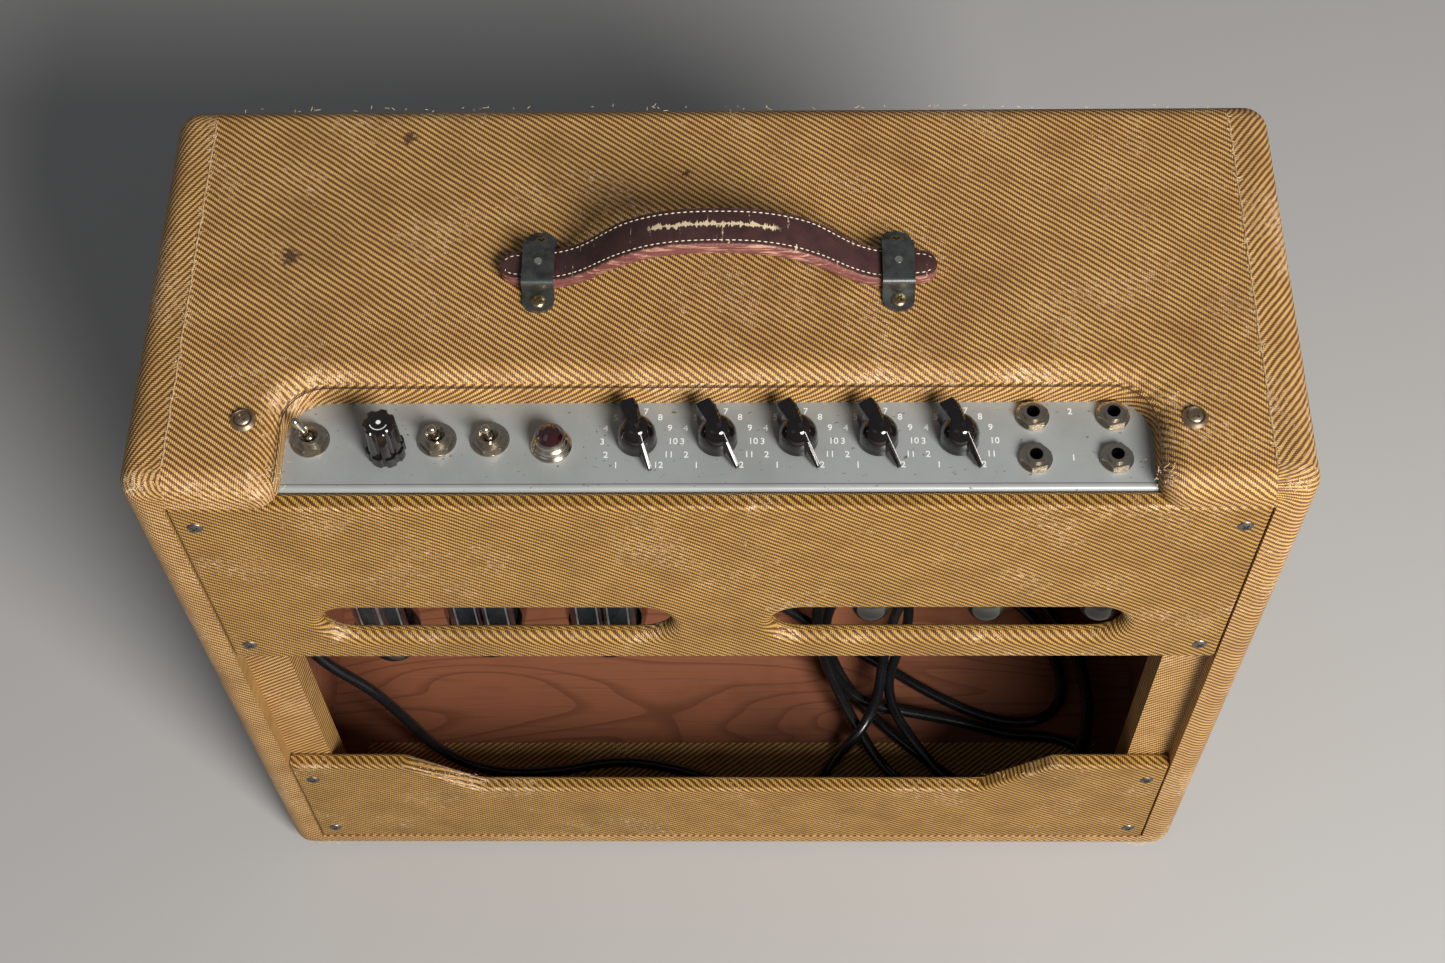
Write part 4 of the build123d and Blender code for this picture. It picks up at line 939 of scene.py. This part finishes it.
def stitch_strap(shape):
    """Pale stitches, evenly spaced round the strap."""
    path = stitch_row(shape)

    def build(bm):
        travelled, goal = 0.0, 0.0
        for here, there in zip(path, path[1:] + path[:1]):
            gap = (there - here).length
            while travelled + gap >= goal and gap > 0:
                place = here.lerp(there, (goal - travelled) / gap)
                add_bead(bm, place, (there - here).normalized(), 2.25 * MM, 0.62 * MM, 0.5 * MM)
                goal += STITCH_PITCH
            travelled += gap

    mesh = mesh_from(build, "handle_stitches")
    thread = speckled("stitch_thread", (0.8, 0.72, 0.55), (0.55, 0.46, 0.32), 700.0, 0.85)
    add_piece("handle_stitches", mesh, "cabinet", thread, smooth=80)


stitch_strap(make_strap())

# ---- control panel marks ----
# The plain numbers round each knob and beside the jacks
DIAL_RADIUS = 16.8 * MM
DIAL_FIRST = math.radians(36.5)
DIAL_STEP = math.radians(26.05)
MARK_HEIGHT = 4.7 * MM
JACK_MARK_X = 167.7 * MM
JACK_MARK_Y = (27.1 * MM, 52.7 * MM)
MARK_Z = PANEL + 0.03 * MM
worn_paint = speckled("worn_white_paint", (0.8, 0.8, 0.77), (0.55, 0.55, 0.53), 1500.0, 0.5, 0.01)


def number_mesh(bm, text, place, size):
    """Adds a flat number, read from behind the cabinet, centred on place."""
    curve = bpy.data.curves.new("number", "FONT")
    curve.body = text
    curve.size = size
    curve.align_x = curve.align_y = "CENTER"
    curve.extrude = 0.03 * MM
    curve.offset = 0.045 * MM
    holder = new_object("number", curve)
    bpy.context.view_layer.update()
    flat = bpy.data.meshes.new_from_object(holder.evaluated_get(bpy.context.evaluated_depsgraph_get()))
    flat.transform(Matrix.Translation(place))
    bm.from_mesh(flat)
    bpy.data.objects.remove(holder)
    bpy.data.meshes.remove(flat)


def dial_marks():
    def build(bm):
        for index in range(1, 6):
            centre = Vector(joints[f"knob_{index}_turn"]["pos_m"])
            for number in range(1, 13):
                turn = DIAL_FIRST + DIAL_STEP * (number - 1)
                place = centre + DIAL_RADIUS * Vector((-math.sin(turn), -math.cos(turn), 0))
                place.z = MARK_Z
                number_mesh(bm, str(number), place, MARK_HEIGHT)
        for number, y in enumerate(JACK_MARK_Y, start=1):
            number_mesh(bm, str(number), Vector((JACK_MARK_X, REAR + y, MARK_Z)), MARK_HEIGHT)

    add_piece("dial_numbers", mesh_from(build, "dial_numbers"), "cabinet", worn_paint)


dial_marks()

# The white line down each knob's ridge, in millimetres out from its axis and up from its foot
KNOB_LIFT = 1.2 * MM
POINTER_SLOPE = ((5.6, 13.9), (9.3, 10.7), (18.3, 2.76))
POINTER_HALF = 0.17 * MM


def pointer_line(index):
    """The line on one knob, which turns with it and points to the knob's furthest corner."""
    knob = f"knob_{index}"
    axis = Vector(joints[knob + "_turn"]["pos_m"])
    corners = [v.co - axis for v in nodes[knob].data.vertices]
    tip = max(corners, key=lambda c: c.x**2 + c.y**2)
    heading = Vector((tip.x, tip.y, 0)).normalized()
    side = Vector((-heading.y, heading.x, 0))

    def build(bm):
        rows = []
        for out, up in POINTER_SLOPE:
            middle = axis + heading * out * MM
            middle.z = PANEL + KNOB_LIFT + (up + 0.1) * MM
            rows.append([bm.verts.new(middle + side * w) for w in (-POINTER_HALF, POINTER_HALF)])
        for low, high in zip(rows, rows[1:]):
            bm.faces.new((low[0], high[0], high[1], low[1]))
        bmesh.ops.solidify(bm, geom=bm.faces[:], thickness=0.25 * MM)

    add_piece(knob + "_line", mesh_from(build, knob + "_line"), knob, worn_paint)


for knob_number in range(1, 6):
    pointer_line(knob_number)


DOT_RADIUS = 1.15 * MM
ARC_RADII = (3.9 * MM, 4.35 * MM)


def fuse_mark():
    """A plain dot and an arc on the fuse cap's top."""
    low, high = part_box("fuse_cap")
    centre = Vector(((low.x + high.x) / 2, (low.y + high.y) / 2, high.z + 0.03 * MM))
    segments = 24

    def build(bm):
        here = Matrix.Translation(centre)
        bmesh.ops.create_circle(bm, cap_ends=True, segments=segments, radius=DOT_RADIUS, matrix=here)
        rows = []
        for k in range(segments + 1):
            turn = math.radians(200 + 140 * k / segments)
            ray = Vector((math.cos(turn), math.sin(turn), 0))
            rows.append([bm.verts.new(centre + ray * radius) for radius in ARC_RADII])
        for (inner, outer), (next_inner, next_outer) in zip(rows, rows[1:]):
            bm.faces.new((inner, outer, next_outer, next_inner))

    add_piece("fuse_cap_mark", mesh_from(build, "fuse_cap_mark"), "fuse_cap", worn_paint)


fuse_mark()


# ---- valve innards ----
def add_box(bm, centre, size):
    made = bmesh.ops.create_cube(bm, size=1)
    bmesh.ops.scale(bm, vec=size, verts=made["verts"])
    bmesh.ops.translate(bm, vec=centre, verts=made["verts"])
    edges = {e for v in made["verts"] for e in v.link_edges}
    bmesh.ops.bevel(bm, geom=list(edges), offset=min(size) * 0.2, segments=2, affect="EDGES")


def add_disc(bm, centre, radius, thickness):
    bmesh.ops.create_cone(bm, cap_ends=True, segments=28, radius1=radius, radius2=radius, depth=thickness,
                          matrix=Matrix.Translation(centre))


VALVE_APART = 26 * MM
PLATE_HEIGHT = 0.56


def valve_places(node):
    """The middle of the plates in each glass of a node, and the glass's height."""
    low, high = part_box(node)
    tall = high.z - low.z
    glasses = {}
    for vertex in nodes[node].data.vertices:
        key = min(glasses, key=lambda c: abs(c - vertex.co.x), default=None)
        if key is None or abs(key - vertex.co.x) > VALVE_APART:
            key = vertex.co.x
        glasses.setdefault(key, []).append(vertex.co.x)
    middles = [(min(xs) + max(xs)) / 2 for xs in glasses.values()]
    return [Vector((x, (low.y + high.y) / 2, low.z + tall * PLATE_HEIGHT)) for x in middles], tall


def valve_innards(node, half_width, plate):
    """Grey plates between mica discs on thin posts, inside each glass of a node."""
    centres, tall = valve_places(node)

    def build_plates(bm):
        for centre in centres:
            add_box(bm, centre, (half_width * 2, half_width * 1.1, tall * plate))
            for level in (-0.56, 0.56):
                add_disc(bm, centre + Vector((0, 0, tall * plate * level)), half_width * 1.25, 0.8 * MM)

    def uprights(sides, ahead, size):
        """Thin boxes in front of the plates. sides and ahead are shares of half_width."""
        def build(bm):
            for centre in centres:
                for side in sides:
                    add_box(bm, centre + Vector((side, -ahead, 0)) * half_width, size)
        return build

    build_posts = uprights((-0.62, 0.55), 0.62, (0.9 * MM, 0.9 * MM, tall * 0.8))
    build_strips = uprights((-0.86, 0.82), 0.58, (2.6 * MM, 0.7 * MM, tall * 0.7))
    grey = metal(node + "_plates", (0.045, 0.055, 0.07), 0.45, (0.02, 0.02, 0.02), 0.5, 120.0)
    pale = metal(node + "_posts", (0.75, 0.74, 0.7), 0.4, (0.5, 0.5, 0.48), 0.3, 120.0, metallic=0.3)
    red = metal(node + "_copper", (0.2, 0.045, 0.025), 0.5, (0.09, 0.02, 0.012), 0.5, 120.0, metallic=0.3)
    for ending, build, look in (
        ("_innards", build_plates, grey),
        ("_posts", build_posts, pale),
        ("_strips", build_strips, red),
    ):
        add_piece(node + ending, mesh_from(build, node + ending), "cabinet", look, smooth=40)


valve_innards("rectifier_tube", 9 * MM, 0.46)
valve_innards("power_tubes", 9.5 * MM, 0.44)
valve_innards("preamp_tubes", 5.5 * MM, 0.42)

# ---- mains cord ----
# The route's points in millimetres, X from the middle and Y from the back: down from the strain relief,
# along the floor, and then the loose loops, whose third number is how far a point is lifted off the floor.
CORD_DIAMETER = 6.8 * MM
CORD_DROP = [
    (-222, 55, 306), (-222, 55, 268), (-234, 60, 230), (-254, 63, 194), (-244, 60, 154), (-217, 56, 122),
    (-202, 54, 84), (-184, 49, 38),
]
CORD_ALONG = [
    (-150, 41), (-112, 42), (-72, 51), (-30, 44), (-5, 33), (14, 24), (34.5, 23), (54, 33), (66, 51),
]
CORD_LOOPS = [
    (83, 62, 17), (95, 85, 21), (98, 110, 21), (104, 136, 22), (118, 164, 27), (146, 180, 26),
    (178, 178, 16), (204, 160, 13), (220, 134, 14), (228, 104, 14), (230, 72, 14), (216, 38, 14),
    (188, 20, 14), (152, 18, 14), (124, 22, 10), (100, 40, 1), (80, 70, 11), (64, 102, 18), (56, 130, 24),
    (57, 156, 23), (68, 178, 22), (94, 186, 21), (115, 171, 20), (118, 145, 14), (109, 121, 15),
    (101, 100, 16), (104, 78, 16), (117, 56, 15), (134, 36, 6), (158, 22, 7), (190, 22, 7), (216, 38, 7),
    (230, 66, 7), (232, 98, 7), (226, 132, 6), (210, 158, 6), (180, 176, 6), (142, 182, 10),
    (100, 182, 14), (68, 172, 15), (56, 148, 16), (57, 122, 16), (70, 99, 10), (90, 84, 10), (116, 80, 8),
    (148, 74, 7), (178, 67, 1), (204, 67, 0), (225, 60, 0), (232, 42, 0), (225, 22, 0), (204, 14, 0),
    (180, 15, 0), (155, 26, 0), (116, 58, 0), (83, 89, 1), (64, 120, 9), (61, 148, 9.5), (76, 174, 8),
    (110, 186, 0), (150, 180, 0), (186, 168, 0), (206, 146, 0), (213, 122, 0), (217, 100, 0), (209, 83, 0),
    (190, 75, 0), (164, 80, 0), (130, 97, 0), (96, 120, 0), (66, 137.5, 0), (48, 148, 7), (34, 156, 10),
]


def lay_cord():
    """The mains cord as one smooth line through the route, down to its plug."""
    rest = FLOOR + CORD_DIAMETER / 2
    route = [Vector((x * MM, REAR + y * MM, z * MM)) for x, y, z in CORD_DROP]
    route += [Vector((x * MM, REAR + y * MM, rest)) for x, y in CORD_ALONG]
    route += [Vector((x * MM, REAR + y * MM, rest + lift * MM)) for x, y, lift in CORD_LOOPS]
    look = finish["rubber"]
    cord = line_curve("mains_cord_line", [route], CORD_DIAMETER / 2, 5, look, "NURBS", 10)
    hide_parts("mains_cord", "mains_cord_coil")


lay_cord()


# ---- floor and light ----
def studio():
    """A wide pale floor, a dim sky and two round lamps."""
    def build(bm):
        place = Matrix.Translation((0, 0, cad_box[0].z))
        bmesh.ops.create_grid(bm, x_segments=1, y_segments=1, size=6, matrix=place)

    mesh = mesh_from(build, "floor")
    floor = new_object("studio_floor", mesh)
    g = Graph("studio_floor", Roughness=0.75, Specular_IOR_Level=0.2)
    g.set("Base Color", g.mix(g.noise(g.coords(), 1.2, 3), (0.41, 0.405, 0.4), (0.375, 0.37, 0.365)))
    mesh.materials.append(g.material)
    world = bpy.data.worlds.new("studio")
    bpy.context.scene.world = world
    world.use_nodes = True
    sky = world.node_tree.nodes["Background"]
    sky.inputs["Color"].default_value = (0.6, 0.62, 0.65, 1)
    sky.inputs["Strength"].default_value = 0.24
    for name, place, aim, size, power, colour in (
        ("key", (1.12, -1.78, 1.78), (0, 0, 0.25), 1.15, 120, (1.0, 0.97, 0.93)),
        ("fill", (-1.6, -1.7, 2.4), (0, 0, 0.3), 1.6, 2, (0.95, 0.97, 1.0)),
    ):
        data = bpy.data.lights.new(name, "AREA")
        data.shape, data.size, data.energy, data.color = "DISK", size, power, colour
        lamp = new_object(name, data)
        lamp.location = place
        lamp.rotation_euler = (Vector(place) - Vector(aim)).to_track_quat("Z", "Y").to_euler()
    bpy.context.scene.view_settings.view_transform = "Standard"


studio()
